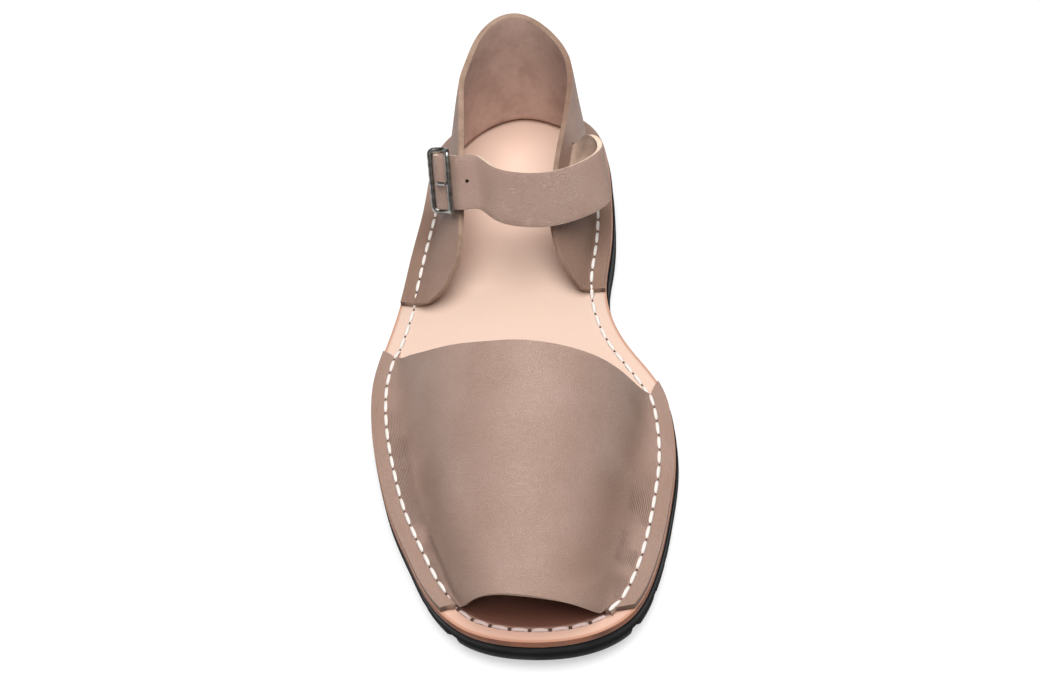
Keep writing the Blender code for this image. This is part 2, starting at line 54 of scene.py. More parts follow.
# outline of the insole from heel to toe: along, outer side, inner side
outlineRows = (
    (129.5, 3.5, 3.5), (125.8, -10.5, 17.3), (119.8, -19.3, 26.3), (112.0, -26.3, 33.3),
    (103.0, -31.6, 37.2), (92.0, -34.2, 39.0), (65.0, -37.0, 39.4), (40.0, -41.2, 37.5),
    (20.0, -44.6, 34.8), (5.0, -48.2, 37.0), (-6.0, -51.2, 41.3), (-18.0, -53.4, 47.8),
    (-30.0, -53.7, 53.0), (-46.0, -52.2, 55.2), (-62.0, -49.2, 54.9), (-80.0, -44.6, 52.0),
    (-98.0, -37.7, 47.9), (-112.0, -31.6, 43.4), (-122.0, -24.8, 38.4), (-129.0, -16.5, 31.3),
    (-133.3, -5.0, 21.5), (-134.8, 9.0, 9.0),
)
heelY, toeY = outlineRows[0][0], outlineRows[-1][0]
midY, halfLength = (heelY + toeY) / 2, (heelY - toeY) / 2


def naturalSpline(knots, values):
    x = np.array(knots, float)
    y = np.array(values, float).reshape(len(x), -1)
    step = np.diff(x)[:, None]
    system = np.eye(len(x))
    right = np.zeros_like(y)
    for i in range(1, len(x) - 1):
        system[i, i - 1:i + 2] = step[i - 1, 0], 2 * (step[i - 1, 0] + step[i, 0]), step[i, 0]
        right[i] = 3 * ((y[i + 1] - y[i]) / step[i] - (y[i] - y[i - 1]) / step[i - 1])
    curve = np.linalg.solve(system, right)

    def at(t):
        t = np.atleast_1d(np.asarray(t, float))
        i = np.clip(np.searchsorted(x, t) - 1, 0, len(x) - 2)
        d = (t - x[i])[:, None]
        slope = (y[i + 1] - y[i]) / step[i] - step[i] * (2 * curve[i] + curve[i + 1]) / 3
        return y[i] + d * (slope + d * (curve[i] + d * (curve[i + 1] - curve[i]) / (3 * step[i])))

    return at


def smoothStep(t):
    t = np.clip(t, 0.0, 1.0)
    return t * t * (3 - 2 * t)


def window(x, start, end, fadeIn, fadeOut):
    return smoothStep((x - start) / fadeIn) * smoothStep((end - x) / fadeOut)


def swell(x, centre, width):
    return np.exp(-((x - centre) / width) ** 2)


def unit(vectors):
    vectors = np.asarray(vectors, float)
    return vectors / np.maximum(np.linalg.norm(vectors, axis=-1, keepdims=True), 1e-12)


def travelled(points):
    return np.concatenate(([0.0], np.cumsum(np.linalg.norm(np.diff(points, axis=0), axis=-1))))


def station(along, side):
    return side * np.arccos(np.clip((np.asarray(along, float) - midY) / halfLength, -1, 1))


def loopOfRows():
    loop = [(float(station(a, 1)), outer) for a, outer, inner in outlineRows]
    loop += [(fullTurn + float(station(a, -1)), inner) for a, outer, inner in outlineRows[-2:0:-1]]
    rows = [(a - fullTurn, x) for a, x in loop[-4:]] + loop
    rows += [(a + fullTurn, x) for a, x in loop[:5]]
    return naturalSpline([r[0] for r in rows], [r[1] for r in rows])


outlineX = loopOfRows()


def outlineRaw(angle):
    x = outlineX(np.mod(angle, fullTurn))[:, 0]
    return np.column_stack((x, midY + halfLength * np.cos(angle)))


def outlineAt(angle, inset=0.0):
    angle = np.atleast_1d(np.asarray(angle, float))
    tangent = unit(outlineRaw(angle + nudge) - outlineRaw(angle - nudge))
    inward = np.column_stack((-tangent[:, 1], tangent[:, 0]))
    return outlineRaw(angle) + inward * np.reshape(inset, (-1, 1))


def toeSpring(y):
    return shoe["toeSpring"] * np.maximum((shoe["springStart"] - y) / shoe["springLength"], 0) ** 2


def rubberBottom(y):
    lift = np.maximum((y - shoe["liftStart"]) / shoe["liftLength"], 0) ** 2
    return toeSpring(y) + shoe["heelLift"] * lift


def rubberTop(y):
    rise = shoe["heelRise"] * smoothStep((y - shoe["riseFront"]) / shoe["riseLength"])
    return shoe["forefootRubber"] + rise + toeSpring(y)


def bedTop(y):
    return rubberTop(y) + shoe["gap"] + shoe["insole"]


def flangeBase(y):
    return bedTop(y) + shoe["gap"]


def onFlange(flat):
    return np.column_stack((flat, flangeBase(flat[:, 1])))


def toScene(points):
    points = np.asarray(points, float).copy()
    points[..., 0] -= shoe["centre"][0]
    points[..., 1] -= shoe["centre"][1]
    return points * mm


def sheetNormals(points, blur=0):
    # blurred a little, so that the thick sheet doesn't fold into itself in a tight bend
    normals = unit(np.cross(np.gradient(points, axis=0), np.gradient(points, axis=1)))
    for i in range(blur):
        for axis in (0, 1):
            size = normals.shape[axis]
            back = np.take(normals, np.maximum(np.arange(size) - 1, 0), axis)
            ahead = np.take(normals, np.minimum(np.arange(size) + 1, size - 1), axis)
            normals = (back + 2 * normals + ahead) / 4
    return unit(normals)


# meshes and objects

def finishMesh(bm, name):
    mesh = bpy.data.meshes.new(name)
    bm.to_mesh(mesh)
    bm.free()
    return mesh


def linkObject(name, data):
    made = bpy.data.objects.new(name, data)
    bpy.context.scene.collection.objects.link(made)
    return made


def gridMesh(name, points, values=None, merge=False):
    # a plane grid laid on the given points, its faces turned the way of rows x columns
    rows, columns = points.shape[:2]
    bm = bmesh.new()
    bm.loops.layers.uv.new("sheet")
    bmesh.ops.create_grid(bm, x_segments=columns - 1, y_segments=rows - 1, size=1.0, calc_uvs=True)
    layers = {key: bm.verts.layers.float.new(key) for key in (values or {})}
    placed = toScene(points)
    for vert in bm.verts:
        i = round((vert.co.y + 1) / 2 * (rows - 1))
        j = round((vert.co.x + 1) / 2 * (columns - 1))
        vert.co = placed[i, j]
        for key, layer in layers.items():
            vert[layer] = values[key][i, j]
    bmesh.ops.reverse_faces(bm, faces=bm.faces)
    if merge:
        bmesh.ops.remove_doubles(bm, verts=bm.verts, dist=2e-6)
        bmesh.ops.dissolve_degenerate(bm, edges=bm.edges, dist=1e-7)
    return finishMesh(bm, name)


def addObject(name, mesh, finishes):
    mesh.materials.clear()
    for finish in finishes:
        mesh.materials.append(finish)
    mesh.shade_smooth()
    return linkObject(name, mesh)


def thicken(piece, thickness, back, rim):
    shell = piece.modifiers.new("thickness", "SOLIDIFY")
    shell.thickness = thickness * mm
    shell.offset = -1
    shell.use_even_offset = True
    shell.material_offset = back
    shell.material_offset_rim = rim


def softenEdges(piece, width, segments, angle):
    edge = piece.modifiers.new("edges", "BEVEL")
    edge.width = width * mm
    edge.segments = segments
    edge.limit_method = "ANGLE"
    edge.angle_limit = math.radians(angle)
    edge.profile = 0.5
    edge.material = -1
    edge.harden_normals = False


def settle(piece):
    # the modifiers so far become the mesh
    bpy.context.view_layer.update()
    graph = bpy.context.evaluated_depsgraph_get()
    mesh = bpy.data.meshes.new_from_object(piece.evaluated_get(graph))
    piece.modifiers.clear()
    old = piece.data
    piece.data = mesh
    mesh.name = old.name + "Mesh"
    bpy.data.meshes.remove(old)


def cutWith(piece, cutters):
    for cutter in cutters:
        step = piece.modifiers.new("cut", "BOOLEAN")
        step.object = cutter
        step.operation = "DIFFERENCE"
        step.solver = "EXACT"
    settle(piece)
    for cutter in cutters:
        data = cutter.data
        bpy.data.objects.remove(cutter)
        bpy.data.meshes.remove(data)


def addCutter(bm, name, slot):
    for face in bm.faces:
        face.material_index = slot
    return linkObject(name, finishMesh(bm, name))


def boxCutter(name, centre, axes, halves, slot=0):
    bm = bmesh.new()
    bmesh.ops.create_cube(bm, size=2.0)
    for vert in bm.verts:
        offset = sum(np.array(axes[k]) * halves[k] * vert.co[k] for k in range(3))
        vert.co = toScene(np.array(centre) + offset)
    bmesh.ops.recalc_face_normals(bm, faces=bm.faces)
    return addCutter(bm, name, slot)


def roundCutter(name, centre, axis, radius, depth, slot=0):
    bm = bmesh.new()
    bmesh.ops.create_cone(bm, cap_ends=True, segments=24, radius1=radius * mm, radius2=radius * mm,
                          depth=depth * mm)
    turn = Vector(axis).to_track_quat("Z", "Y").to_matrix().to_4x4()
    place = Matrix.Translation(Vector(toScene(centre)))
    bmesh.ops.transform(bm, matrix=place @ turn, verts=bm.verts)
    return addCutter(bm, name, slot)


def register(piece, slot, *nodes):
    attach(piece, "root")
    if nodes:
        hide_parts(*nodes)


# nodes

def addNode(tree, kind, inputs=None, **settings):
    node = tree.nodes.new(kind)
    for key, value in settings.items():
        setattr(node, key, value)
    for key, value in (inputs or {}).items():
        setSocket(tree, node.inputs[key], value)
    return node


def setSocket(tree, socket, value):
    if isinstance(value, bpy.types.NodeSocket):
        tree.links.new(value, socket)
    else:
        socket.default_value = value


def connect(tree, node, **sockets):
    for key, value in sockets.items():
        setSocket(tree, node.inputs[key.replace("_", " ")], value)


def mathNode(tree, operation, a, b=0.0):
    return addNode(tree, "ShaderNodeMath", {0: a, 1: b}, operation=operation).outputs[0]


def times(tree, a, b):
    return mathNode(tree, "MULTIPLY", a, b)


def plus(tree, a, b):
    return mathNode(tree, "ADD", a, b)


def rangeNode(tree, value, low, high, first=0.0, last=1.0, smooth=True):
    node = addNode(tree, "ShaderNodeMapRange", {"Value": value, "From Min": low, "From Max": high,
                                               "To Min": first, "To Max": last})
    if smooth:
        node.interpolation_type = "SMOOTHSTEP"
    return node.outputs["Result"]


def mixNode(tree, factor, a, b):
    return addNode(tree, "ShaderNodeMix", {0: factor, 6: a, 7: b}, data_type="RGBA").outputs[2]


def noiseNode(tree, place, scale, detail=2.0, **more):
    inputs = {"Vector": place, "Scale": scale, "Detail": detail, **more}
    return addNode(tree, "ShaderNodeTexNoise", inputs).outputs["Fac"]


def bumpNode(tree, height, depth):
    inputs = {"Height": height, "Distance": depth * mm, "Strength": 1.0}
    return addNode(tree, "ShaderNodeBump", inputs).outputs["Normal"]


def attributeNode(tree, name):
    return addNode(tree, "ShaderNodeAttribute", attribute_name=name).outputs["Fac"]


def objectPlace(tree):
    return addNode(tree, "ShaderNodeTexCoord").outputs["Object"]


def srgb(red, green, blue):
    def linear(c):
        c /= 255
        return c / 12.92 if c <= 0.04045 else ((c + 0.055) / 1.055) ** 2.4
    return (linear(red), linear(green), linear(blue), 1.0)


def newGroup(name, *outputs):
    # one input sizes the pattern
    group = bpy.data.node_groups.new(name, "ShaderNodeTree")
    kind = "NodeSocketFloat"
    group.interface.new_socket(name="Scale", in_out="INPUT", socket_type=kind).default_value = 1.0
    for key in outputs:
        group.interface.new_socket(name=key, in_out="OUTPUT", socket_type=kind)
    entry = addNode(group, "NodeGroupInput")
    inputs = {0: objectPlace(group), "Scale": entry.outputs["Scale"]}
    sized = addNode(group, "ShaderNodeVectorMath", inputs, operation="SCALE").outputs[0]
    return group, sized, addNode(group, "NodeGroupOutput")


def useGroup(tree, group, scale=1.0):
    return addNode(tree, "ShaderNodeGroup", {"Scale": scale}, node_tree=group)


def newMaterial(name):
    material = bpy.data.materials.new(name)
    material.use_nodes = True
    tree = material.node_tree
    return material, tree, tree.nodes["Principled BSDF"]


# finishes; the patterns' scales are in cells per metre

grainLook = {"warpScale": 420.0, "warp": 0.0009, "pebbleScale": 1500.0, "pebble": 0.65,
             "fineScale": 2600.0, "fine": 0.35, "poreScale": 900.0, "patchScale": 55.0}


def makeHideGrain():
    # pebbled hide: height of the grain, fine pores and slow patches of colour
    look = grainLook
    group, sized, result = newGroup("hideGrain", "Height", "Pores", "Patches")
    warp = addNode(group, "ShaderNodeTexNoise",
                   {"Vector": sized, "Scale": look["warpScale"], "Detail": 2.0}).outputs["Color"]
    shifted = addNode(group, "ShaderNodeVectorMath", {0: warp, 1: (look["warp"],) * 3, 2: sized},
                      operation="MULTIPLY_ADD").outputs[0]
    cells = {"Vector": shifted, "Scale": look["pebbleScale"]}
    pebble = addNode(group, "ShaderNodeTexVoronoi", cells,
                     feature="DISTANCE_TO_EDGE").outputs["Distance"]
    fine = noiseNode(group, sized, look["fineScale"], 3.0)
    height = plus(group, times(group, rangeNode(group, pebble, 0.0, 0.22), look["pebble"]),
                  times(group, fine, look["fine"]))
    pores = addNode(group, "ShaderNodeTexVoronoi",
                    {"Vector": shifted, "Scale": look["poreScale"]}).outputs["Distance"]
    patches = noiseNode(group, sized, look["patchScale"], 4.0)
    connect(group, result, Height=height, Pores=rangeNode(group, pores, 0.16, 0.05),
            Patches=rangeNode(group, patches, 0.3, 0.7))
    return group


napLook = {"napScale": 1500.0, "nap": 0.6, "clumpScale": 380.0, "clump": 0.4, "stainScale": 90.0}


def makeFleshNap():
    # rough flesh side and cut edges: nap height and darker stains
    look = napLook
    group, sized, result = newGroup("fleshNap", "Height", "Stains")
    nap = noiseNode(group, sized, look["napScale"], 4.0, Roughness=0.7)
    clump = noiseNode(group, sized, look["clumpScale"], 3.0)
    stain = noiseNode(group, sized, look["stainScale"], 5.0, Roughness=0.6)
    height = plus(group, times(group, nap, look["nap"]), times(group, clump, look["clump"]))
    connect(group, result, Height=height, Stains=rangeNode(group, stain, 0.42, 0.68))
    return group


hideGrain = makeHideGrain()
fleshNap = makeFleshNap()

taupeLook = {
    # the third colour on the next line is painted shade for the bends, flanges and fronts
    "light": srgb(164, 138, 126), "base": srgb(157, 130, 117), "paintedShade": srgb(116, 88, 71),
    "vein": srgb(196, 171, 157), "dark": srgb(122, 96, 83), "pore": srgb(100, 76, 64),
    "creaseShade": srgb(98, 73, 61), "speckles": 0.28, "pores": 0.4, "creases": 0.65, "veins": 0.32,
    "grainDepth": 0.16, "creaseDepth": 0.42, "creaseSpacing": 0.8, "creaseSway": 6.0,
    "roughness": (0.64, 0.5), "specular": 0.28,
}


def seamFurrows(tree):
    # fine lines that follow the seams, on the bends above them
    place = objectPlace(tree)
    sway = noiseNode(tree, place, 110.0, 3.0)
    where = noiseNode(tree, place, 95.0)
    turns = times(tree, attributeNode(tree, "seamGap"), math.pi / taupeLook["creaseSpacing"])
    phase = plus(tree, turns, times(tree, sway, taupeLook["creaseSway"]))
    line = mathNode(tree, "ABSOLUTE", mathNode(tree, "SINE", phase))
    amount = times(tree, attributeNode(tree, "wrinkle"), rangeNode(tree, where, 0.32, 0.58))
    return times(tree, rangeNode(tree, line, 0.75, 0.0), amount)


def bandFurrows(tree):
    # faint wandering creases where the band bends
    place = objectPlace(tree)
    lines = []
    for scale, distortion, width in ((150.0, 0.8, 0.02), (330.0, 0.5, 0.026)):
        noise = noiseNode(tree, place, scale, Distortion=distortion)
        off = mathNode(tree, "ABSOLUTE", mathNode(tree, "SUBTRACT", noise, 0.5))
        lines.append(rangeNode(tree, off, width, 0.0))
    furrow = mathNode(tree, "MAXIMUM", lines[0], times(tree, lines[1], 0.6))
    return times(tree, times(tree, furrow, attributeNode(tree, "wrinkle")), taupeLook["veins"])


def makeTaupe(name, band=False):
    look = taupeLook
    material, tree, shader = newMaterial(name)
    grain = useGroup(tree, hideGrain)
    height = grain.outputs["Height"]
    colour = mixNode(tree, grain.outputs["Patches"], look["base"], look["light"])
    speckle = rangeNode(tree, height, 0.62, 0.2, 0.0, look["speckles"])
    colour = mixNode(tree, speckle, colour, look["dark"])
    colour = mixNode(tree, times(tree, grain.outputs["Pores"], look["pores"]), colour, look["pore"])
    # painted shade, mixed in where the vamp's and counter's attribute marks the bends, flanges and
    # fronts
    colour = mixNode(tree, attributeNode(tree, "shadeTone"), colour, look["paintedShade"])
    furrow = bandFurrows(tree) if band else seamFurrows(tree)
    line = look["vein"] if band else look["creaseShade"]
    # on the vamp and counter the seam furrows get painted shade; on the band they are paler veins
    colour = mixNode(tree, times(tree, furrow, look["creases"]), colour, line)
    relief = mathNode(tree, "SUBTRACT", times(tree, height, look["grainDepth"]),
                      times(tree, furrow, look["creaseDepth"]))
    rough = rangeNode(tree, height, 0.2, 0.9, *look["roughness"], smooth=False)
    connect(tree, shader, Base_Color=colour, Roughness=rough, Normal=bumpNode(tree, relief, 1.0),
            Specular_IOR_Level=look["specular"])
    return material


# base, stain, depth of the nap and, on a sewn-down edge, the ink on its trimmed rim
fleshLook = {
    "fleshSide": (srgb(192, 163, 150), srgb(160, 131, 118), 0.12),
    "cutEdge": (srgb(158, 133, 116), srgb(112, 87, 71), 0.10, srgb(92, 70, 60)),
    "strapFlesh": (srgb(158, 134, 117), srgb(122, 99, 84), 0.14),
    "strapEdge": (srgb(224, 200, 180), srgb(184, 155, 134), 0.10),
}
# painted shade for the flesh side inside the heel
fleshShade = srgb(104, 72, 58)


def makeFlesh(name):
    base, stain, depth, *ink = fleshLook[name]
    material, tree, shader = newMaterial(name)
    nap = useGroup(tree, fleshNap)
    height = nap.outputs["Height"]
    colour = mixNode(tree, times(tree, nap.outputs["Stains"], 0.55), base, stain)
    colour = mixNode(tree, rangeNode(tree, height, 0.62, 0.38, 0.0, 0.25), colour, stain)
    # painted shade on the flesh side of the heel's inner wall
    colour = mixNode(tree, attributeNode(tree, "innerShade"), colour, fleshShade)
    if ink:
        outside = rangeNode(tree, attributeNode(tree, "seamGap"), -2.5, -4.5)
        colour = mixNode(tree, times(tree, outside, 0.85), colour, ink[0])
    connect(tree, shader, Base_Color=colour, Roughness=0.86, Normal=bumpNode(tree, height, depth),
            Specular_IOR_Level=0.2, Sheen_Weight=0.12, Sheen_Roughness=0.5)
    return material


insoleLook = {
    "shaded": srgb(188, 164, 149), "bare": srgb(240, 208, 190), "toeRim": srgb(194, 155, 137),
    "patch": srgb(204, 172, 153), "pore": srgb(186, 142, 115), "edge": srgb(166, 114, 88),
    "toe": srgb(90, 46, 33), "burnished": (srgb(134, 84, 61), srgb(96, 58, 42)),
}


def makeInsoleHide():
    look = insoleLook
    material, tree, shader = newMaterial("naturalHide")
    grain = useGroup(tree, hideGrain, 0.8)
    height = grain.outputs["Height"]
    # painted light and shade along the bed
    colour = mixNode(tree, attributeNode(tree, "bedShading"), look["shaded"], look["bare"])
    edge = rangeNode(tree, attributeNode(tree, "edgeGap"), 1.5, 0.4)
    layers = ((attributeNode(tree, "toeRim"), 1.0, "toeRim"),
              (grain.outputs["Patches"], 0.3, "patch"), (grain.outputs["Pores"], 0.18, "pore"),
              (edge, 0.75, "edge"), (attributeNode(tree, "toeShade"), 0.9, "toe"))
    for mask, share, tint in layers:
        colour = mixNode(tree, times(tree, mask, share), colour, look[tint])
    rough = rangeNode(tree, height, 0.2, 0.9, 0.56, 0.44, smooth=False)
    connect(tree, shader, Base_Color=colour, Roughness=rough, Normal=bumpNode(tree, height, 0.03),
            Specular_IOR_Level=0.35)
    return material


def makeBurnished():
    material, tree, shader = newMaterial("burnishedEdge")
    nap = useGroup(tree, fleshNap, 0.7)
    colour = mixNode(tree, nap.outputs["Stains"], *insoleLook["burnished"])
    connect(tree, shader, Base_Color=colour, Roughness=0.62,
            Normal=bumpNode(tree, nap.outputs["Height"], 0.08), Specular_IOR_Level=0.25)
    return material


rubberLook = {"black": srgb(5, 5, 8), "dust": srgb(13, 13, 17), "roughness": (0.62, 0.78)}


def makeRubber():
    material, tree, shader = newMaterial("blackRubber")
    place = objectPlace(tree)
    grit = noiseNode(tree, place, 1900.0, 3.0)
    dust = noiseNode(tree, place, 140.0, 5.0)
    colour = mixNode(tree, rangeNode(tree, dust, 0.45, 0.75, 0.0, 0.5), rubberLook["black"],
                     rubberLook["dust"])
    rough = rangeNode(tree, dust, 0.3, 0.7, *rubberLook["roughness"], smooth=False)
    connect(tree, shader, Base_Color=colour, Roughness=rough, Normal=bumpNode(tree, grit, 0.03),
            Specular_IOR_Level=0.18)
    return material


nickelLook = {"bright": srgb(164, 162, 158), "tarnish": srgb(112, 109, 104),
              "roughness": (0.28, 0.42)}


def makeNickel():
    material, tree, shader = newMaterial("agedNickel")
    place = objectPlace(tree)
    tarnish = noiseNode(tree, place, 420.0, 5.0)
    scratch = noiseNode(tree, place, 2400.0)
    colour = mixNode(tree, rangeNode(tree, tarnish, 0.35, 0.68), nickelLook["bright"],
                     nickelLook["tarnish"])
    rough = rangeNode(tree, tarnish, 0.3, 0.7, *nickelLook["roughness"], smooth=False)
    connect(tree, shader, Base_Color=colour, Metallic=1.0, Roughness=rough,
            Normal=bumpNode(tree, scratch, 0.002))
    return material


threadLook = {
    # the second colour on the next line is painted shade between the plies
    "white": srgb(228, 222, 216), "between": srgb(192, 178, 166), "soil": srgb(206, 184, 168),
    "toeTint": srgb(214, 190, 184), "twist": (34.0, 12.57),
    # the hole colours are painted shade
    "hole": (srgb(62, 42, 34), srgb(92, 68, 56)),
}


def makeThread():
    look = threadLook
    material, tree, shader = newMaterial("waxedThread")
    uv = addNode(tree, "ShaderNodeUVMap", uv_map="thread").outputs["UV"]
    parts = addNode(tree, "ShaderNodeSeparateXYZ", {0: uv})
    turn = plus(tree, times(tree, parts.outputs["X"], look["twist"][0]),
                times(tree, parts.outputs["Y"], look["twist"][1]))
    ply = mathNode(tree, "ABSOLUTE", mathNode(tree, "SINE", turn))
    soil = noiseNode(tree, objectPlace(tree), 260.0, 3.0)
    # painted shade in the grooves between the plies
    plyShade = rangeNode(tree, ply, 0.5, 0.0, 0.0, 0.55)
    colour = mixNode(tree, plyShade, look["white"], look["between"])
    colour = mixNode(tree, rangeNode(tree, soil, 0.5, 0.8, 0.0, 0.25), colour, look["soil"])
    # the bare stitches at the toe are darker and pinker
    colour = mixNode(tree, attributeNode(tree, "toeTint"), colour, look["toeTint"])
    connect(tree, shader, Base_Color=colour, Roughness=0.6, Normal=bumpNode(tree, ply, 0.12))
    return material


# painted shade: dark flattened discs stand for the awl holes
def makeHole():
    material, tree, shader = newMaterial("holeShade")
    vary = noiseNode(tree, objectPlace(tree), 800.0)
    connect(tree, shader, Base_Color=mixNode(tree, vary, *threadLook["hole"]), Roughness=0.9)
    return material


taupeHide = makeTaupe("taupeHide")
strapHide = makeTaupe("taupeStrapHide", band=True)
fleshSide, cutEdge, strapFlesh, strapEdge = [makeFlesh(name) for name in fleshLook]
naturalHide = makeInsoleHide()
burnishedEdge = makeBurnished()
blackRubber = makeRubber()
agedNickel = makeNickel()
waxedThread = makeThread()
holeShade = makeHole()
print("finishes ready")

# rubber sole
sole = {
    "rows": 150, "across": 12,
    # bottom to top: part of the height, millimetres added, outset on the outer and the inner side
    "side": ((0.0, 0.0, -1.2, -0.4), (0.0, 0.25, -0.75, 0.05), (0.0, 0.7, -0.3, 0.5),
             (0.0, 2.2, 0.0, 0.8), (0.0, 4.0, 0.2, 1.0), (0.0, 4.5, -0.2, 0.6),
             (0.5, 2.0, 0.0, 0.6), (1.0, -0.7, 0.2, 0.6), (1.0, -0.2, 0.1, 0.5),
             (1.0, 0.0, -0.2, 0.2)),
    "treadPitch": 13.0, "treadFirst": -124.0, "treadCount": 20, "grooveWidth": 4.0,
    "grooveDepth": 4.0, "grooveReach": 75.0,
}


def makeSole():
    angles = np.linspace(0.0, math.pi, sole["rows"])
    columns = []
    for side in (1, -1):
        rows = []
        for part, add, outer, inner in sole["side"]:
            blend = (1 - np.sin(side * angles)) / 2
            flat = outlineAt(side * angles, -(outer + (inner - outer) * blend))
            low, high = rubberBottom(flat[:, 1]), rubberTop(flat[:, 1])
            rows.append(np.column_stack((flat, low + add + part * (high - low))))
        columns.append(rows)
    outer, inner = columns
    spread = np.linspace(0, 1, sole["across"] + 2)[1:-1]
    top = [outer[-1] * (1 - t) + inner[-1] * t for t in spread]
    bottom = [inner[0] * (1 - t) + outer[0] * t for t in spread]
    points = np.stack(outer + top + inner[::-1] + bottom + [outer[0]], axis=1)
    piece = addObject("rubberSole", gridMesh("rubberSole", points, merge=True), [blackRubber])
    halves = (sole["grooveReach"], sole["grooveWidth"] / 2, sole["grooveDepth"])
    cutters = []
    for i in range(sole["treadCount"]):
        y = sole["treadFirst"] + i * sole["treadPitch"]
        cutters.append(boxCutter("groove", (0.0, y, float(rubberBottom(y))), np.eye(3), halves))
    cutWith(piece, cutters)
    softenEdges(piece, 0.3, 2, 55)
    register(piece, "black_rubber", "outsole")


makeSole()
print("sole made")

# insole
insole = {
    "rows": 190, "across": 60,
    "toeShade": (-104.0, 18.0),  # along, fade
    "toeShadeInset": (4.6, 2.0),  # from the edge, fade
    "toeRim": (-108.0, 10.0),
    # along, painted light and shade on the bed, from shaded to bare: darkest just ahead of the strap,
    # lightest beneath it
    "bedShadings": ((-100, 0.45), (-30, 0.30), (8, 0.22), (22, 0.03), (32, 0.18), (44, 0.62),
                 (54, 0.95), (66, 0.80), (80, 0.52)),
    "outlineSamples": 1200,
}


def distanceToOutline(flat):
    ring = outlineAt(np.linspace(0, fullTurn, insole["outlineSamples"]))
    shape = flat.shape[:-1]
    best = [np.sqrt(((part[:, None, :] - ring[None]) ** 2).sum(-1)).min(1)
            for part in np.array_split(flat.reshape(-1, 2), 40)]
    return np.concatenate(best).reshape(shape)


def makeInsole():
    angles = np.linspace(0.0, math.pi, insole["rows"])
    across = (1 - np.cos(np.linspace(0, math.pi, insole["across"]))) / 2
    outer, inner = outlineAt(angles)[:, None], outlineAt(-angles)[:, None]
    flat = outer * (1 - across[None, :, None]) + inner * across[None, :, None]
    y = flat[..., 1]
    edgeGap = distanceToOutline(flat)
    (shadeFrom, shadeFade), (rimFrom, rimFade) = insole["toeShade"], insole["toeRim"]
    inset, insetFade = insole["toeShadeInset"]
    toeShade = smoothStep((shadeFrom - y) / shadeFade) * smoothStep((edgeGap - inset) / insetFade)
    values = {"edgeGap": edgeGap, "bedShading": np.interp(y, *zip(*insole["bedShadings"])),
              "toeShade": toeShade, "toeRim": smoothStep((rimFrom - y) / rimFade)}
    mesh = gridMesh("insoleHide", np.dstack((flat, bedTop(y))), values, merge=True)
    piece = addObject("insoleHide", mesh, [naturalHide, burnishedEdge])
    thicken(piece, shoe["insole"], 0, 1)
    softenEdges(piece, 0.35, 3, 60)
    register(piece, "natural_leather", "insole")


makeInsole()
print("insole made")

# how the sewn line sits in the leather, swells beside it as height, place and width
groove = {"depth": 0.42, "width": 0.8, "drawn": 0.22,
          "swells": ((0.14, 2.7, 1.4), (0.10, -2.6, 1.5))}

# vamp, one arched piece sewn down both sides
vamp = {
    "rows": 180, "flangeSteps": 8, "filletSteps": 10, "domeSteps": 36,
    # throat, middle and toe: outer edge, outer seam, inner seam, inner edge, height, outer and
    # inner lean, radius at the base, steepest angle, pull of the wall, pull of the top, ridge's shift
    "sections": ((-3.0, -5.0, -31.0, -26.0, 45.5, 28.5, 20.5, 5.0, 69.0, 0.56, 0.50, 0.10),
                 (-58.0, -59.0, -78.0, -75.0, 34.0, 16.0, 14.0, 15.0, 63.0, 0.62, 0.30, 0.02),
                 (-120.5, -122.5, -129.5, -123.5, 17.0, 4.0, 6.5, 4.0, 66.0, 0.54, 0.45, -0.08)),
    "softening": 36, "normalBlur": 24,
    # soft troughs: side, part along from and to, gap from the seam from and to, depth, width
    "troughs": (("outer", 0.25, 0.85, 9.0, 7.0, 0.20, 4.2),
                ("inner", 0.20, 0.95, 11.0, 7.5, 0.20, 4.6),
                ("outer", 0.70, 1.05, 8.5, 4.2, 0.45, 2.0)),
    "waves": 0.28, "wavesFrom": 12.0,
    # fine wrinkles: side, part along from and to, gap from the seam from and to, strength
    "wrinkles": (("outer", 0.20, 1.00, 0.9, 12.0, 1.0), ("inner", 0.35, 1.02, 0.9, 14.0, 0.8)),
    # painted shade on the bends: side, part along from and to, gap from the seam, width, strength
    "shadeTones": (("outer", 0.15, 1.05, 11.0, 6.0, 0.20), ("outer", 0.35, 1.02, 20.0, 11.0, 0.42),
              ("inner", -0.10, 1.05, 14.0, 10.0, 0.40), ("inner", 0.30, 1.0, 21.0, 12.0, 0.58)),
    # painted shade towards the toe and on the flanges
    "toeTone": 0.12, "flangeTone": 0.22,
}


def filletArc(radius, angle, steps):
    turn = np.linspace(0, angle, steps + 1)
    return np.column_stack((radius * np.sin(turn), radius * (1 - np.cos(turn))))


def bezier(controls, t):
    level = [np.asarray(c, float) for c in controls]
    t = np.reshape(t, (-1, 1))
    while len(level) > 1:
        level = [a * (1 - t) + b * t for a, b in zip(level, level[1:])]
    return level[0]


def archSection(width, height, base, wall, wallPull, topPull, ridge):
    angle = math.radians(wall)
    half = width / 2
    bend = filletArc(base, angle, vamp["filletSteps"])
    start = bend[-1]
    rise = (height - start[1]) / math.sin(angle)
    controls = (start, start + wallPull * rise * np.array((math.cos(angle), math.sin(angle))),
                (half - topPull * (half - start[0]), height), (half, height))
    steps = vamp["domeSteps"]
    side = np.vstack((bend, bezier(controls, np.arange(1, steps + 1) / steps)))
    section = np.vstack((side, np.column_stack((width - side[-2::-1, 0], side[-2::-1, 1]))))
    share = section[:, 0] / width
    section[:, 0] += 16 * ridge * width * (share * (1 - share)) ** 2  # 16: full at the crown
    return section


def seamRelief(gap, travel):
    # the sewn line is drawn down at each stitch, and the leather swells beside it
    drawn = groove["drawn"]
    pull = 1 - drawn + drawn * np.cos(fullTurn * travel / shoe["stitchPitch"])
    relief = -groove["depth"] * pull * swell(gap, 0, groove["width"])
    return relief + sum(h * swell(gap, centre, width) for h, centre, width in groove["swells"])


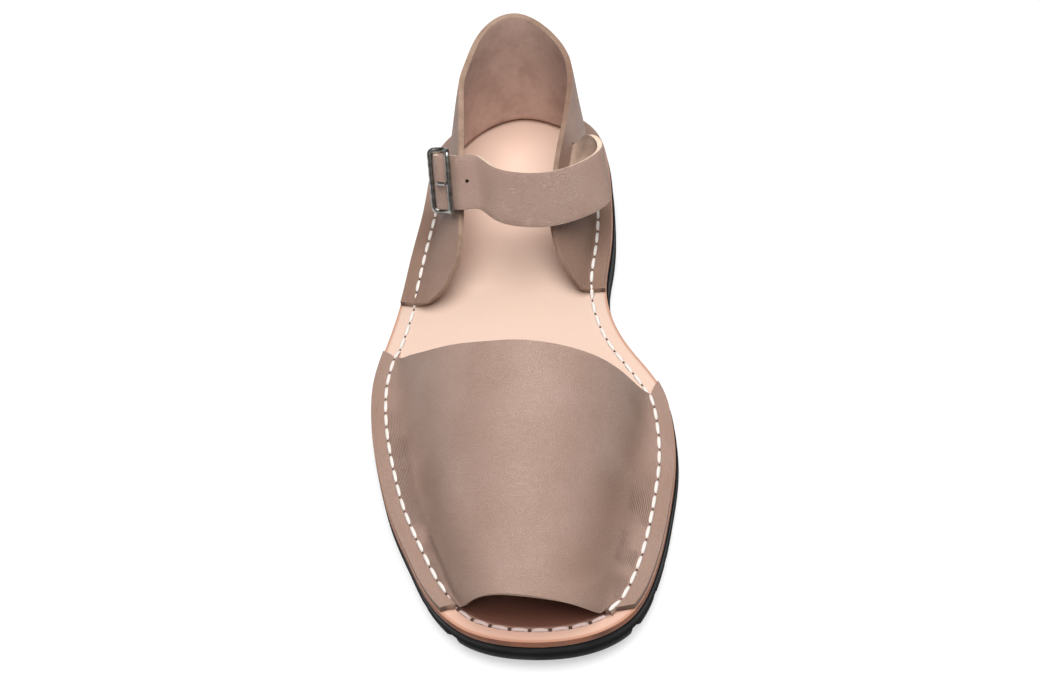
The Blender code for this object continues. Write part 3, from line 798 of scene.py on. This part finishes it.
def vampRow(row):
    # one row of points over the foot, and each point's gap from the seam
    outerEdge, outerSeam, innerSeam, innerEdge, height, outerLean, innerLean = row[:7]
    edgeA = outlineAt(station(outerEdge, 1), shoe["flangeMargin"])[0]
    seamA = outlineAt(station(outerSeam, 1), shoe["seamInset"])[0]
    edgeB = outlineAt(station(innerEdge, -1), shoe["flangeMargin"])[0]
    seamB = outlineAt(station(innerSeam, -1), shoe["seamInset"])[0]
    width = np.linalg.norm(seamB - seamA)
    section = archSection(width, height, *row[7:])
    share = section[:, :1] / width
    flat = seamA + (seamB - seamA) * share
    lean = outerLean + (innerLean - outerLean) * (1 - (1 - share[:, 0]) ** 2)
    arch = np.column_stack((flat[:, 0], flat[:, 1] - lean * section[:, 1] / height,
                            flangeBase(flat[:, 1]) + section[:, 1]))
    steps = np.linspace(0, 1, vamp["flangeSteps"] + 1)[:-1, None]
    flangeA = edgeA + (seamA - edgeA) * steps
    flangeB = (edgeB + (seamB - edgeB) * steps)[::-1]
    reach = travelled(section)
    gap = np.concatenate((-np.linalg.norm(flangeA - seamA, axis=1),
                          np.minimum(reach, reach[-1] - reach),
                          -np.linalg.norm(flangeB - seamB, axis=1)))
    return np.vstack((onFlange(flangeA), arch, onFlange(flangeB))), gap


def makeVamp():
    throat, middle, toe = [np.array(row) for row in vamp["sections"]]
    bend = 2 * (throat - 2 * middle + toe)
    parts = np.linspace(0, 1, vamp["rows"])
    rows = [vampRow(throat + part * (toe - throat - bend) + part * part * bend) for part in parts]
    points, gap = np.array([r[0] for r in rows]), np.array([r[1] for r in rows])
    # the hide can't turn sharply, so the bend above the seam is eased, the flange staying flat
    eased = smoothStep((gap - 0.8) / 4)[..., None]
    for i in range(vamp["softening"]):
        mean = (np.roll(points, 1, axis=1) + 2 * points + np.roll(points, -1, axis=1)) / 4
        points = points + (mean - points) * eased
    first, columns = vamp["flangeSteps"], points.shape[1]
    outerSide = np.arange(columns) < columns / 2
    sides = {"outer": outerSide, "inner": ~outerSide}
    travel = np.where(outerSide, travelled(points[:, first])[:, None],
                      travelled(points[:, columns - 1 - first])[:, None])
    relief = seamRelief(gap, travel)
    along = parts[:, None]
    for side, start, end, gapFrom, gapTo, depth, width in vamp["troughs"]:
        line = gapFrom + (gapTo - gapFrom) * np.clip((along - start) / (end - start), 0, 1)
        here = window(along, start, end, 0.12, 0.12) * swell(gap, line, width)
        relief -= depth * here * sides[side]
    wrinkle, shadeTone = np.zeros_like(gap), np.zeros_like(gap)
    for side, start, end, gapFrom, gapTo, strength in vamp["wrinkles"]:
        here = window(along, start, end, 0.2, 0.15) * window(gap, gapFrom, gapTo, 1.0, 4.0)
        wrinkle = np.maximum(wrinkle, strength * here * sides[side])
    # painted shade on the bends, towards the toe and on the flanges
    for side, start, end, centre, width, strength in vamp["shadeTones"]:
        here = window(along, start, end, 0.25, 0.15) * swell(gap, centre, width)
        shadeTone = np.maximum(shadeTone, strength * here * sides[side])
    shadeTone = np.maximum(shadeTone, vamp["toeTone"] * smoothStep((along - 0.65) / 0.3))
    shadeTone = np.maximum(shadeTone, vamp["flangeTone"] * smoothStep(0.5 - gap))
    x, y = points[..., 0], points[..., 1]
    waves = np.sin(x * 0.21 + 0.5) * np.sin(y * 0.13 + 1.1) + 0.5 * np.sin(x * 0.1 - y * 0.31)
    relief += smoothStep(gap / vamp["wavesFrom"]) * vamp["waves"] * waves
    normals = sheetNormals(points, vamp["normalBlur"])
    points = points + normals * (shoe["leather"] + relief)[..., None]
    values = {"seamGap": gap, "wrinkle": wrinkle, "shadeTone": shadeTone}
    mesh = gridMesh("vampHide", points, values)
    piece = addObject("vampHide", mesh, [taupeHide, fleshSide, cutEdge])
    thicken(piece, shoe["leather"], 1, 2)
    softenEdges(piece, 0.4, 3, 55)
    register(piece, "taupe_leather", "vamp")


makeVamp()
print("vamp made")

# heel counter with a slit in each side
counter = {
    "rows": 290, "flangeSteps": 8, "filletSteps": 9, "wallSteps": 44, "wallGain": 1.12,
    "wallMax": 88.0, "normalBlur": 4,
    # heel back to the front ends: along, outer height and inset, inner height and inset
    "edge": ((129.5, 56.0, 5.6, 56.0, 5.6), (125.8, 53.5, 6.4, 54.5, 5.8),
             (119.8, 48.8, 7.8, 50.8, 6.0), (112.0, 43.7, 9.3, 46.1, 6.3),
             (103.0, 39.4, 10.8, 42.3, 7.2), (92.0, 34.9, 12.1, 38.0, 9.2),
             (72.0, 29.0, 13.5, 32.6, 13.3), (58.0, 25.8, 15.3, 29.6, 15.6),
             (43.0, 21.4, 17.8, 25.0, 16.6), (35.0, 17.4, 18.0, 21.2, 16.2),
             (29.5, 13.4, 17.1, 15.6, 14.4), (25.0, 10.0, 14.8, 10.8, 11.6),
             (21.6, 6.0, 11.0, 6.2, 8.0), (20.0, 2.4, 6.5, 2.0, 4.8)),
    # along, part of the wall's height, side
    "innerSlit": (63.0, 0.72, -1), "outerSlit": (66.0, 0.62, 1), "slitPlay": 0.7, "waves": 0.18,
    # from toneFrom on: painted shade on the front, the flanges and the inner side's wall, inside and
    # out
    "wavesFrom": 10.0, "wrinkle": 0.35, "toneFrom": 88.0, "toneFade": 40.0, "frontTone": 0.40,
    "flangeTone": 0.25, "innerTone": 0.25, "heelShade": 0.42, "shadeFrom": 12.0,
    "shadeFade": 16.0,
}


def counterEdge():
    rows = [(float(station(a, 1)), oh, oi) for a, oh, oi, ih, ii in counter["edge"]]
    rows += [(float(station(a, -1)), ih, ii) for a, oh, oi, ih, ii in counter["edge"][1:]]
    rows.sort()
    return rows[0][0], rows[-1][0], naturalSpline([r[0] for r in rows], [r[1:] for r in rows])


counterFirst, counterLast, counterTop = counterEdge()


def counterSection(angle):
    height, inset = counterTop(angle)[0]
    steepest = math.radians(counter["wallMax"])
    wall = min(math.atan2(height, inset) * counter["wallGain"], steepest)
    bend = filletArc(shoe["counterFillet"], wall, counter["filletSteps"])
    start, top = bend[-1], np.array((inset, height))
    reach = np.linalg.norm(top - start) / 2
    return bend, (start, start + reach * np.array((math.cos(wall), math.sin(wall))), top)


def counterPoints(angle, section):
    flat = outlineAt(np.full(len(section), angle), shoe["seamInset"] + section[:, 0])
    base = flangeBase(outlineAt(angle, shoe["seamInset"])[0, 1])
    return np.column_stack((flat, base + section[:, 1]))


def counterWall(angle, part):
    return counterPoints(angle, bezier(counterSection(angle)[1], [part]))[0]


def slitFrame(along, part, side):
    angle = float(station(along, side))
    run = unit(counterWall(angle - side * 1e-3, part) - counterWall(angle + side * 1e-3, part))
    down = counterWall(angle, part - 0.05) - counterWall(angle, part + 0.05)
    down = unit(down - run * np.dot(down, run))
    outward = np.cross(run, down) * side
    return counterWall(angle, part) + outward * shoe["leather"] / 2, run, outward, down


innerSlit = slitFrame(*counter["innerSlit"])
outerSlit = slitFrame(*counter["outerSlit"])


def makeCounter():
    angles = np.linspace(counterFirst, counterLast, counter["rows"])
    share = np.linspace(0, 1, counter["flangeSteps"] + 1)[:-1, None]
    steps = counter["wallSteps"]
    rows, gaps = [], []
    for angle in angles:
        bend, controls = counterSection(angle)
        section = np.vstack((bend, bezier(controls, np.arange(1, steps + 1) / steps)))
        edge = outlineAt(angle, shoe["flangeMargin"])[0]
        seam = outlineAt(angle, shoe["seamInset"])[0]
        flange = edge + (seam - edge) * share
        rows.append(np.vstack((onFlange(flange), counterPoints(angle, section))))
        gaps.append(np.concatenate((-np.linalg.norm(flange - seam, axis=1), travelled(section))))
    points, gap = np.array(rows), np.array(gaps)
    travel = travelled(points[:, counter["flangeSteps"]])[:, None]
    relief = seamRelief(gap, travel)
    turn = angles[:, None]
    waves = np.sin(turn * 9 + 0.4) * np.sin(gap * 0.17 + 0.6)
    relief += smoothStep(gap / counter["wavesFrom"]) * counter["waves"] * waves
    normals = sheetNormals(points, counter["normalBlur"])
    points = points + normals * (shoe["leather"] + relief)[..., None]
    x, y = points[..., 0], points[..., 1]
    wrinkle = counter["wrinkle"] * window(gap, 1.2, 9.0, 1.5, 4.0)
    # painted shade: darker towards the front, on the flanges and on the wall of the inner side, and
    # on that wall's flesh side inside the heel
    forward = smoothStep((counter["toneFrom"] - y) / counter["toneFade"])
    shadeTone = forward * (counter["frontTone"] + counter["flangeTone"] * (gap < 0.5)
                      + counter["innerTone"] * (turn < 0) * smoothStep(gap / 4))
    inward = smoothStep((x - counter["shadeFrom"]) / counter["shadeFade"])
    shade = counter["heelShade"] * inward * smoothStep(gap / 8)
    values = {"seamGap": gap, "wrinkle": wrinkle, "shadeTone": shadeTone, "innerShade": shade}
    mesh = gridMesh("counterHide", points, values)
    piece = addObject("counterHide", mesh, [taupeHide, fleshSide, cutEdge])
    thicken(piece, shoe["leather"], 1, 2)
    cutters = []
    for (centre, *axes), band in ((innerSlit, strap), (outerSlit, tab)):
        halves = (band["width"] / 2 + counter["slitPlay"], shoe["leather"] * 2,
                  band["thickness"] / 2 + counter["slitPlay"])
        cutters.append(boxCutter("slit", centre, axes, halves, slot=2))
    cutWith(piece, cutters)
    softenEdges(piece, 0.35, 3, 55)
    register(piece, "taupe_leather", "heel_counter")


# ankle strap, buckle tab and buckle
strap = {
    "width": 20.5, "thickness": 1.9, "step": 0.7, "across": 26, "endLength": 2.6,
    "endDrop": 0.3, "frontLength": 3.4, "frontDrop": 0.8,
    # buckle to inner side: x, y, z, lean back, lean sideways
    "path": ((-11.6, 44.2, 52.8, 34, 0), (-4.7, 38.9, 51.4, 34, 0), (3.9, 36.3, 49.7, 34, 0),
             (13.7, 36.9, 48.0, 34, 0), (23.7, 40.5, 46.7, 34, -2), (32.4, 46.0, 45.9, 35, -6),
             (37.0, 51.9, 45.6, 37, -8), (35.4, 58.0, 45.0, 42, -4), (31.2, 61.4, 43.9, 50, 4)),
    "holeForward": -0.7, "holeHalves": (2.2, 1.2, 3.0), "spareHole": 23.0, "spareRadius": 0.7,
    "spareDepth": 3.0, "edgeDrop": 0.18, "edgeFrom": 8.6,
    "creases": (28.0, 72.0, 14.0, 12.0),  # from, to, fade in, fade out
    "faintCreases": 0.25,
}
tab = {
    "width": 15.0, "thickness": 1.3, "step": 0.5, "across": 18,
    "under": ((5.6, -3.9), (2.6, -2.5)), "back": ((2.0, 0.8), (3.7, -0.7), (5.2, -1.9)),
    "slotForward": -0.4, "slotHalves": (3.4, 1.2, 4.2), "creases": 0.3,
}
buckle = {
    "centre": (-22.8, 50.8, 48.3), "rearward": (-0.60, 0.66, -0.45),
    "upward": (0.0, 0.563, 0.826), "wire": 0.85,
    "bar": 0.97,  # the middle bar's share of the wire
    "halfLength": 6.1, "corner": 1.4, "cornerSteps": 8, "outward": 0.1, "flatten": 0.35,
    "bow": 3.4, "play": 0.45, "prong": 0.7, "prongTip": 1.4,
    "rise": ((0.1, 3.2), (-0.9, 4.6), (-2.2, 5.8), (-4.0, 6.2)), "ease": 0.25,
}
# through a slit from the tail outwards: outward, down
slitPath = ((-3.8, 12.0), (-3.8, 8.0), (-3.8, 5.2), (-3.2, 2.6), (-2.2, 0.9), (-1.2, 0.15),
            (0.0, 0.0), (1.4, 0.0), (2.8, 0.0))

buckleS = unit(buckle["rearward"])
buckleW = unit(np.array(buckle["upward"]) - buckleS * np.dot(buckle["upward"], buckleS))
buckleN = np.cross(buckleW, buckleS)
buckleAxes = (buckleS, buckleW, buckleN)
strapUnder = buckle["wire"] + shoe["gap"] + strap["thickness"] / 2 + buckle["ease"]
strapOver = strapUnder + tab["thickness"] + shoe["gap"]


def bucklePoint(s, w, n):
    return np.array(buckle["centre"]) + buckleS * s + buckleW * w + buckleN * n


def slitStations(slit):
    centre, run, outward, down = slit
    return [(centre + outward * o + down * d, run) for o, d in slitPath]


def bandPoints(stations, band, flip=False):
    middles = np.array([p for p, d in stations])
    widths = np.array([d for p, d in stations])
    travel = travelled(middles)
    path = naturalSpline(travel, np.hstack((middles, widths)))
    reach = np.linspace(0, travel[-1], int(travel[-1] / band["step"]) + 1)
    rows = path(reach)
    across = np.linspace(-0.5, 0.5, band["across"]) * (-1 if flip else 1) * band["width"]
    points = rows[:, None, :3] + unit(rows[:, 3:])[:, None, :] * across[None, :, None]
    return points, reach, across


def strapWave():
    half, bow = buckle["halfLength"], buckle["bow"]
    slope = math.asin((strapOver + strapUnder) / math.hypot(half, bow)) - math.atan2(bow, half)
    side = [(strapOver * math.sin(slope / 2), strapOver * math.cos(slope / 2)),
            (strapOver * math.sin(slope), strapOver * math.cos(slope)),
            (half - strapUnder * math.sin(slope), bow - strapUnder * math.cos(slope)),
            (half, bow - strapUnder)]
    return side[::-1] + [(0.0, strapOver)] + [(-s, n) for s, n in side]


def makeStrap():
    half, low = buckle["halfLength"], buckle["bow"] - strapUnder
    waved = [(half + strap["endLength"], low - strap["endDrop"])] + strapWave()
    waved.append((-half - strap["frontLength"], low - strap["frontDrop"]))
    stations = [(bucklePoint(s, 0, n), buckleW) for s, n in waved]
    for x, y, z, back, sideways in strap["path"]:
        lean = (math.tan(math.radians(sideways)), math.tan(math.radians(back)), 1.0)
        stations.append((np.array((x, y, z)), unit(lean)))
    stations += slitStations(innerSlit)[::-1]
    points, reach, across = bandPoints(stations, strap)
    along = np.broadcast_to(reach[:, None], points.shape[:2])
    over = np.broadcast_to(across[None, :], points.shape[:2])
    relief = -strap["edgeDrop"] * smoothStep((np.abs(over) - strap["edgeFrom"]) / 1.6)
    normals = sheetNormals(points)
    points = points + normals * (strap["thickness"] / 2 + relief)[..., None]
    bend = window(along, *strap["creases"])
    values = {"wrinkle": np.clip(strap["faintCreases"] + bend, 0, 1)}
    mesh = gridMesh("strapHide", points, values)
    piece = addObject("strapHide", mesh, [strapHide, strapFlesh, strapEdge, holeShade])
    thicken(piece, strap["thickness"], 1, 2)
    hole = boxCutter("prongHole", bucklePoint(strap["holeForward"], 0, strapOver), buckleAxes,
                     strap["holeHalves"], slot=2)
    spot = int(strap["spareHole"] / strap["step"]), strap["across"] // 2
    # the spare hole is cut part way; its floor takes the painted hole shade
    spare = roundCutter("spareHole", points[spot], normals[spot], strap["spareRadius"],
                        strap["spareDepth"], slot=3)
    cutWith(piece, [hole, spare])
    softenEdges(piece, 0.3, 3, 55)
    register(piece, "taupe_leather", "ankle_strap")


def makeTab():
    ring = buckle["wire"] + shoe["gap"] + tab["thickness"] / 2
    turns = [math.radians(a) for a in range(0, 181, 45)]
    path = list(tab["under"]) + [(-ring * math.sin(a), -ring * math.cos(a)) for a in turns]
    path += list(tab["back"])
    stations = slitStations(outerSlit) + [(bucklePoint(s, 0, n), buckleW) for s, n in path]
    points = bandPoints(stations, tab, flip=True)[0]
    points = points + sheetNormals(points) * (tab["thickness"] / 2)
    mesh = gridMesh("tabHide", points, {"wrinkle": np.full(points.shape[:2], tab["creases"])})
    piece = addObject("tabHide", mesh, [strapHide, strapFlesh, strapEdge])
    thicken(piece, tab["thickness"], 1, 2)
    slot = boxCutter("prongSlot", bucklePoint(tab["slotForward"], 0, 0), buckleAxes,
                     tab["slotHalves"], slot=2)
    cutWith(piece, [slot])
    softenEdges(piece, 0.2, 2, 55)
    register(piece, "taupe_leather", "buckle_tab")


def wireMesh(name, path, radius, closed):
    data = bpy.data.curves.new(name, "CURVE")
    data.dimensions = "3D"
    data.bevel_depth = radius * mm
    data.bevel_resolution = 6
    data.use_fill_caps = not closed
    line = data.splines.new("POLY")
    line.points.add(len(path) - 1)
    for point, co in zip(line.points, toScene(path)):
        point.co = (*co, 1.0)
    line.use_cyclic_u = closed
    made = linkObject(name, data)
    bpy.context.view_layer.update()
    mesh = bpy.data.meshes.new_from_object(made)
    bpy.data.objects.remove(made)
    bpy.data.curves.remove(data)
    return mesh


def joinMeshes(name, *meshes):
    bm = bmesh.new()
    for mesh in meshes:
        bm.from_mesh(mesh)
        bpy.data.meshes.remove(mesh)
    bmesh.ops.remove_doubles(bm, verts=bm.verts, dist=1e-6)
    bmesh.ops.recalc_face_normals(bm, faces=bm.faces)
    return finishMesh(bm, name)


def flattenWire(mesh, ring):
    # pressed wire: wider in the plane of the frame than it is thick
    starts, runs = ring[:-1], np.diff(ring, axis=0)
    origin = np.array((*shoe["centre"], 0.0)) - np.array(buckle["centre"])
    for vert in mesh.vertices:
        place = np.array(vert.co) / mm + origin
        flat = np.array((place @ buckleS, place @ buckleW))
        share = ((flat - starts) * runs).sum(1) / np.maximum((runs ** 2).sum(1), 1e-9)
        near = starts + runs * np.clip(share, 0, 1)[:, None]
        pick = np.argmin(((flat - near) ** 2).sum(1))
        out = unit((runs[pick][1], -runs[pick][0]))
        out = out if out @ near[pick] > 0 else -out
        push = buckle["outward"] + buckle["flatten"] * float((flat - near[pick]) @ out)
        vert.co += Vector((buckleS * out[0] + buckleW * out[1]) * push * mm)


def makeBuckle():
    half, corner, steps = buckle["halfLength"], buckle["corner"], buckle["cornerSteps"]
    tall = strap["width"] / 2 + buckle["play"] + buckle["wire"]
    ring = []
    for quarter, (ss, ws) in enumerate(((1, 1), (-1, 1), (-1, -1), (1, -1))):
        for i in range(steps + 1):
            angle = math.radians(90 * quarter + 90 / steps * i)
            ring.append((ss * (half - corner) + corner * math.cos(angle),
                         ws * (tall - corner) + corner * math.sin(angle)))
        if quarter in (0, 2):
            ring += [(ss * half * part / 5, ws * tall) for part in (3, 2, 1, 0, -1, -2, -3)]
    path = [bucklePoint(s, w, buckle["bow"] * (s / half) ** 2) for s, w in ring]
    bar = [bucklePoint(0, tall * part, 0) for part in (-1, -0.5, 0, 0.5, 1)]
    frameWire = wireMesh("frameWire", path, buckle["wire"], True)
    flattenWire(frameWire, np.array(ring + ring[:1]))
    barWire = wireMesh("barWire", bar, buckle["wire"] * buckle["bar"], False)
    piece = addObject("buckleFrame", joinMeshes("buckleFrame", frameWire, barWire), [agedNickel])
    register(piece, "aged_nickel", "buckle_frame")


def makeProng():
    ring = buckle["wire"] + shoe["gap"] + buckle["prong"]
    rest = buckle["bow"] + ring + buckle["ease"]
    turns = [math.radians(a) for a in range(-110, 66, 12)]
    path = [(ring * math.cos(a), ring * math.sin(a)) for a in turns] + list(buckle["rise"])
    path += [(-buckle["halfLength"], rest),
             (-buckle["halfLength"] - buckle["prongTip"], rest)]
    points = [bucklePoint(s, 0, n) for s, n in path]
    mesh = joinMeshes("buckleProng", wireMesh("prongWire", points, buckle["prong"], False))
    piece = addObject("buckleProng", mesh, [agedNickel])
    softenEdges(piece, 0.3, 3, 60)
    register(piece, "aged_nickel", "buckle_prong")


makeCounter()
print("heel counter made")
makeStrap()
makeTab()
makeBuckle()
makeProng()
print("strap and buckle made")

# hand seam all round: thread, and painted shade for the awl holes
sewing = {
    "samples": 4001, "inset": 5.65, "toeInset": 4.75, "toeFrom": -116.0, "toeFade": 12.0,
    "toeBack": -100.0,  # bare stitches ahead of this are the darker ones at the toe
    "stitch": 5.45, "radius": 0.70, "overlap": 0.15, "flatten": 0.85, "lift": 0.28, "dip": 0.45,
    "sunk": 0.25, "hole": 0.40, "toeHole": 0.75, "holeAway": 0.35, "holeFlat": 0.22,
    "vampOuter": (-122.5, -5.0), "vampInner": (-129.5, -31.0), "counterFront": 20.0,
}


def seamTop(y, along, side):
    # height of what the seam lies on: leather over the flanges, bare insole between them
    front, back = sewing["vampOuter"] if side > 0 else sewing["vampInner"]
    covered = (front < along < back) or along > sewing["counterFront"]
    return float(flangeBase(y)) + shoe["leather"] - sewing["sunk"] if covered else float(bedTop(y))


def addStitch(thread, a, b, toeTint):
    uvLayer = thread.loops.layers.uv["thread"]
    toeTintLayer = thread.verts.layers.float["toeTint"]
    made = bmesh.ops.create_uvsphere(thread, u_segments=8, v_segments=7, radius=1.0)["verts"]
    run = unit(b - a)
    across = unit(np.cross((0, 0, 1), run))
    up = np.cross(run, across)
    half = np.linalg.norm(b - a) / 2 + sewing["overlap"]
    for vert in made:
        u, v, w = vert.co.z, vert.co.x, vert.co.y
        full = math.sqrt((1 - u ** 4) / max(1 - u * u, 1e-6))  # blunt ends, not a lens
        v, w = v * full, w * full
        rise = w * sewing["radius"] * sewing["flatten"] + sewing["lift"] - sewing["dip"] * u * u
        vert[toeTintLayer] = 1.0 if toeTint else 0.0
        for loop in vert.link_loops:
            loop[uvLayer].uv = ((u + 1) / 2, math.atan2(w, v) / fullTurn)
        vert.co = toScene((a + b) / 2 + run * u * half + across * v * sewing["radius"] + up * rise)


def addHole(holes, centre, radius):
    made = bmesh.ops.create_uvsphere(holes, u_segments=8, v_segments=6, radius=radius * mm)["verts"]
    size = Matrix.Diagonal((1.0, 1.0, sewing["holeFlat"], 1.0))
    place = Matrix.Translation(Vector(toScene(centre)))
    bmesh.ops.transform(holes, matrix=place @ size, verts=made)


def makeSeam():
    angles = np.linspace(0, fullTurn, sewing["samples"])
    stations = outlineAt(angles)[:, 1]
    toeward = smoothStep((sewing["toeFrom"] - stations) / sewing["toeFade"])
    line = outlineAt(angles, sewing["inset"] + (sewing["toeInset"] - sewing["inset"]) * toeward)
    travel = travelled(line)
    count = round(travel[-1] / shoe["stitchPitch"])
    pitch = travel[-1] / count
    thread, holes = bmesh.new(), bmesh.new()
    thread.loops.layers.uv.new("thread")
    thread.verts.layers.float.new("toeTint")

    def place(s):
        s = s % travel[-1]
        x, y = np.interp(s, travel, line[:, 0]), np.interp(s, travel, line[:, 1])
        side = 1 if np.interp(s, travel, angles) < math.pi else -1
        return np.array((x, y, seamTop(y, np.interp(s, travel, stations), side)))

    for i in range(count):
        start = i * pitch + (pitch - sewing["stitch"]) / 2
        end = start + sewing["stitch"]
        a, b = place(start), place(end)
        bare = min(p[2] - float(bedTop(p[1])) for p in (a, b)) < 0.5
        onToe = bare and a[1] < sewing["toeBack"]
        addStitch(thread, a, b, onToe)
        for spot in (start - sewing["holeAway"], end + sewing["holeAway"]):
            addHole(holes, place(spot), sewing["toeHole" if onToe else "hole"])
    for bm, name, finish in ((thread, "seamThread", waxedThread), (holes, "seamHoles", holeShade)):
        bmesh.ops.recalc_face_normals(bm, faces=bm.faces)
        register(addObject(name, finishMesh(bm, name), [finish]), "natural_leather")
    print("stitches", count)


makeSeam()

# studio
studio = {
    "eye": (0.03225, -0.40155, 0.4523), "aim": (0.06665, -0.0083, 0.0138), "lens": 55.14,
    "pan": 6.45, "floor": ((0.46, 0.46, 0.46, 1.0), (0.44, 0.44, 0.44, 1.0)), "floorSize": 4.0,
    "floorGlow": 0.55, "roomLow": 0.08, "roomHigh": 0.26, "keyPlace": (0.03, -0.13, 0.80),
    "keyAim": (0.0, -0.03, 0.0), "keySize": 0.95, "keyWatts": 13.5,
}


def makeFloor():
    bm = bmesh.new()
    bmesh.ops.create_grid(bm, x_segments=2, y_segments=2, size=studio["floorSize"])
    material, tree, shader = newMaterial("paleFloor")
    cloud = noiseNode(tree, objectPlace(tree), 3.0)
    connect(tree, shader, Base_Color=mixNode(tree, cloud, *studio["floor"]), Roughness=0.8,
            Emission_Color=(1.0, 1.0, 1.0, 1.0), Emission_Strength=studio["floorGlow"])
    floor = addObject("floor", finishMesh(bm, "floor"), [material])


def makeKeyLight():
    data = bpy.data.lights.new("keyLight", "AREA")
    data.shape = "DISK"
    data.size = studio["keySize"]
    data.energy = studio["keyWatts"]
    lamp = linkObject("keyLight", data)
    place, aim = Vector(studio["keyPlace"]), Vector(studio["keyAim"])
    lamp.location = place
    lamp.rotation_euler = (aim - place).to_track_quat("-Z", "Y").to_euler()


def makeRoom():
    # even light from above, dimmer towards the horizon
    world = bpy.data.worlds.new("softRoom")
    world.use_nodes = True
    bpy.context.scene.world = world
    tree = world.node_tree
    ray = addNode(tree, "ShaderNodeTexCoord").outputs["Generated"]
    height = addNode(tree, "ShaderNodeSeparateXYZ", {0: ray}).outputs["Z"]
    level = rangeNode(tree, height, 0.0, 0.8, studio["roomLow"], studio["roomHigh"])
    connect(tree, tree.nodes["Background"], Strength=level)
    bpy.context.scene.view_settings.view_transform = "Standard"


def makeCamera():
    eye, aim = Vector(studio["eye"]), Vector(studio["aim"])
    forward = (aim - eye).normalized()
    right = forward.cross(Vector((0, 0, 1))).normalized()
    up = right.cross(forward)
    pan = math.radians(studio["pan"])
    turned = forward * math.cos(pan) - right * math.sin(pan)
    right = turned.cross(up).normalized()
    data = bpy.data.cameras.new("camera")
    data.lens = studio["lens"]
    data.sensor_width = 36.0
    data.clip_start = 0.01
    camera = linkObject("camera", data)
    rotation = Matrix((right, up, -turned)).transposed().to_4x4()
    camera.matrix_world = Matrix.Translation(eye) @ rotation
    bpy.context.scene.camera = camera


makeFloor()
makeCamera()
makeKeyLight()
makeRoom()
print("studio ready")
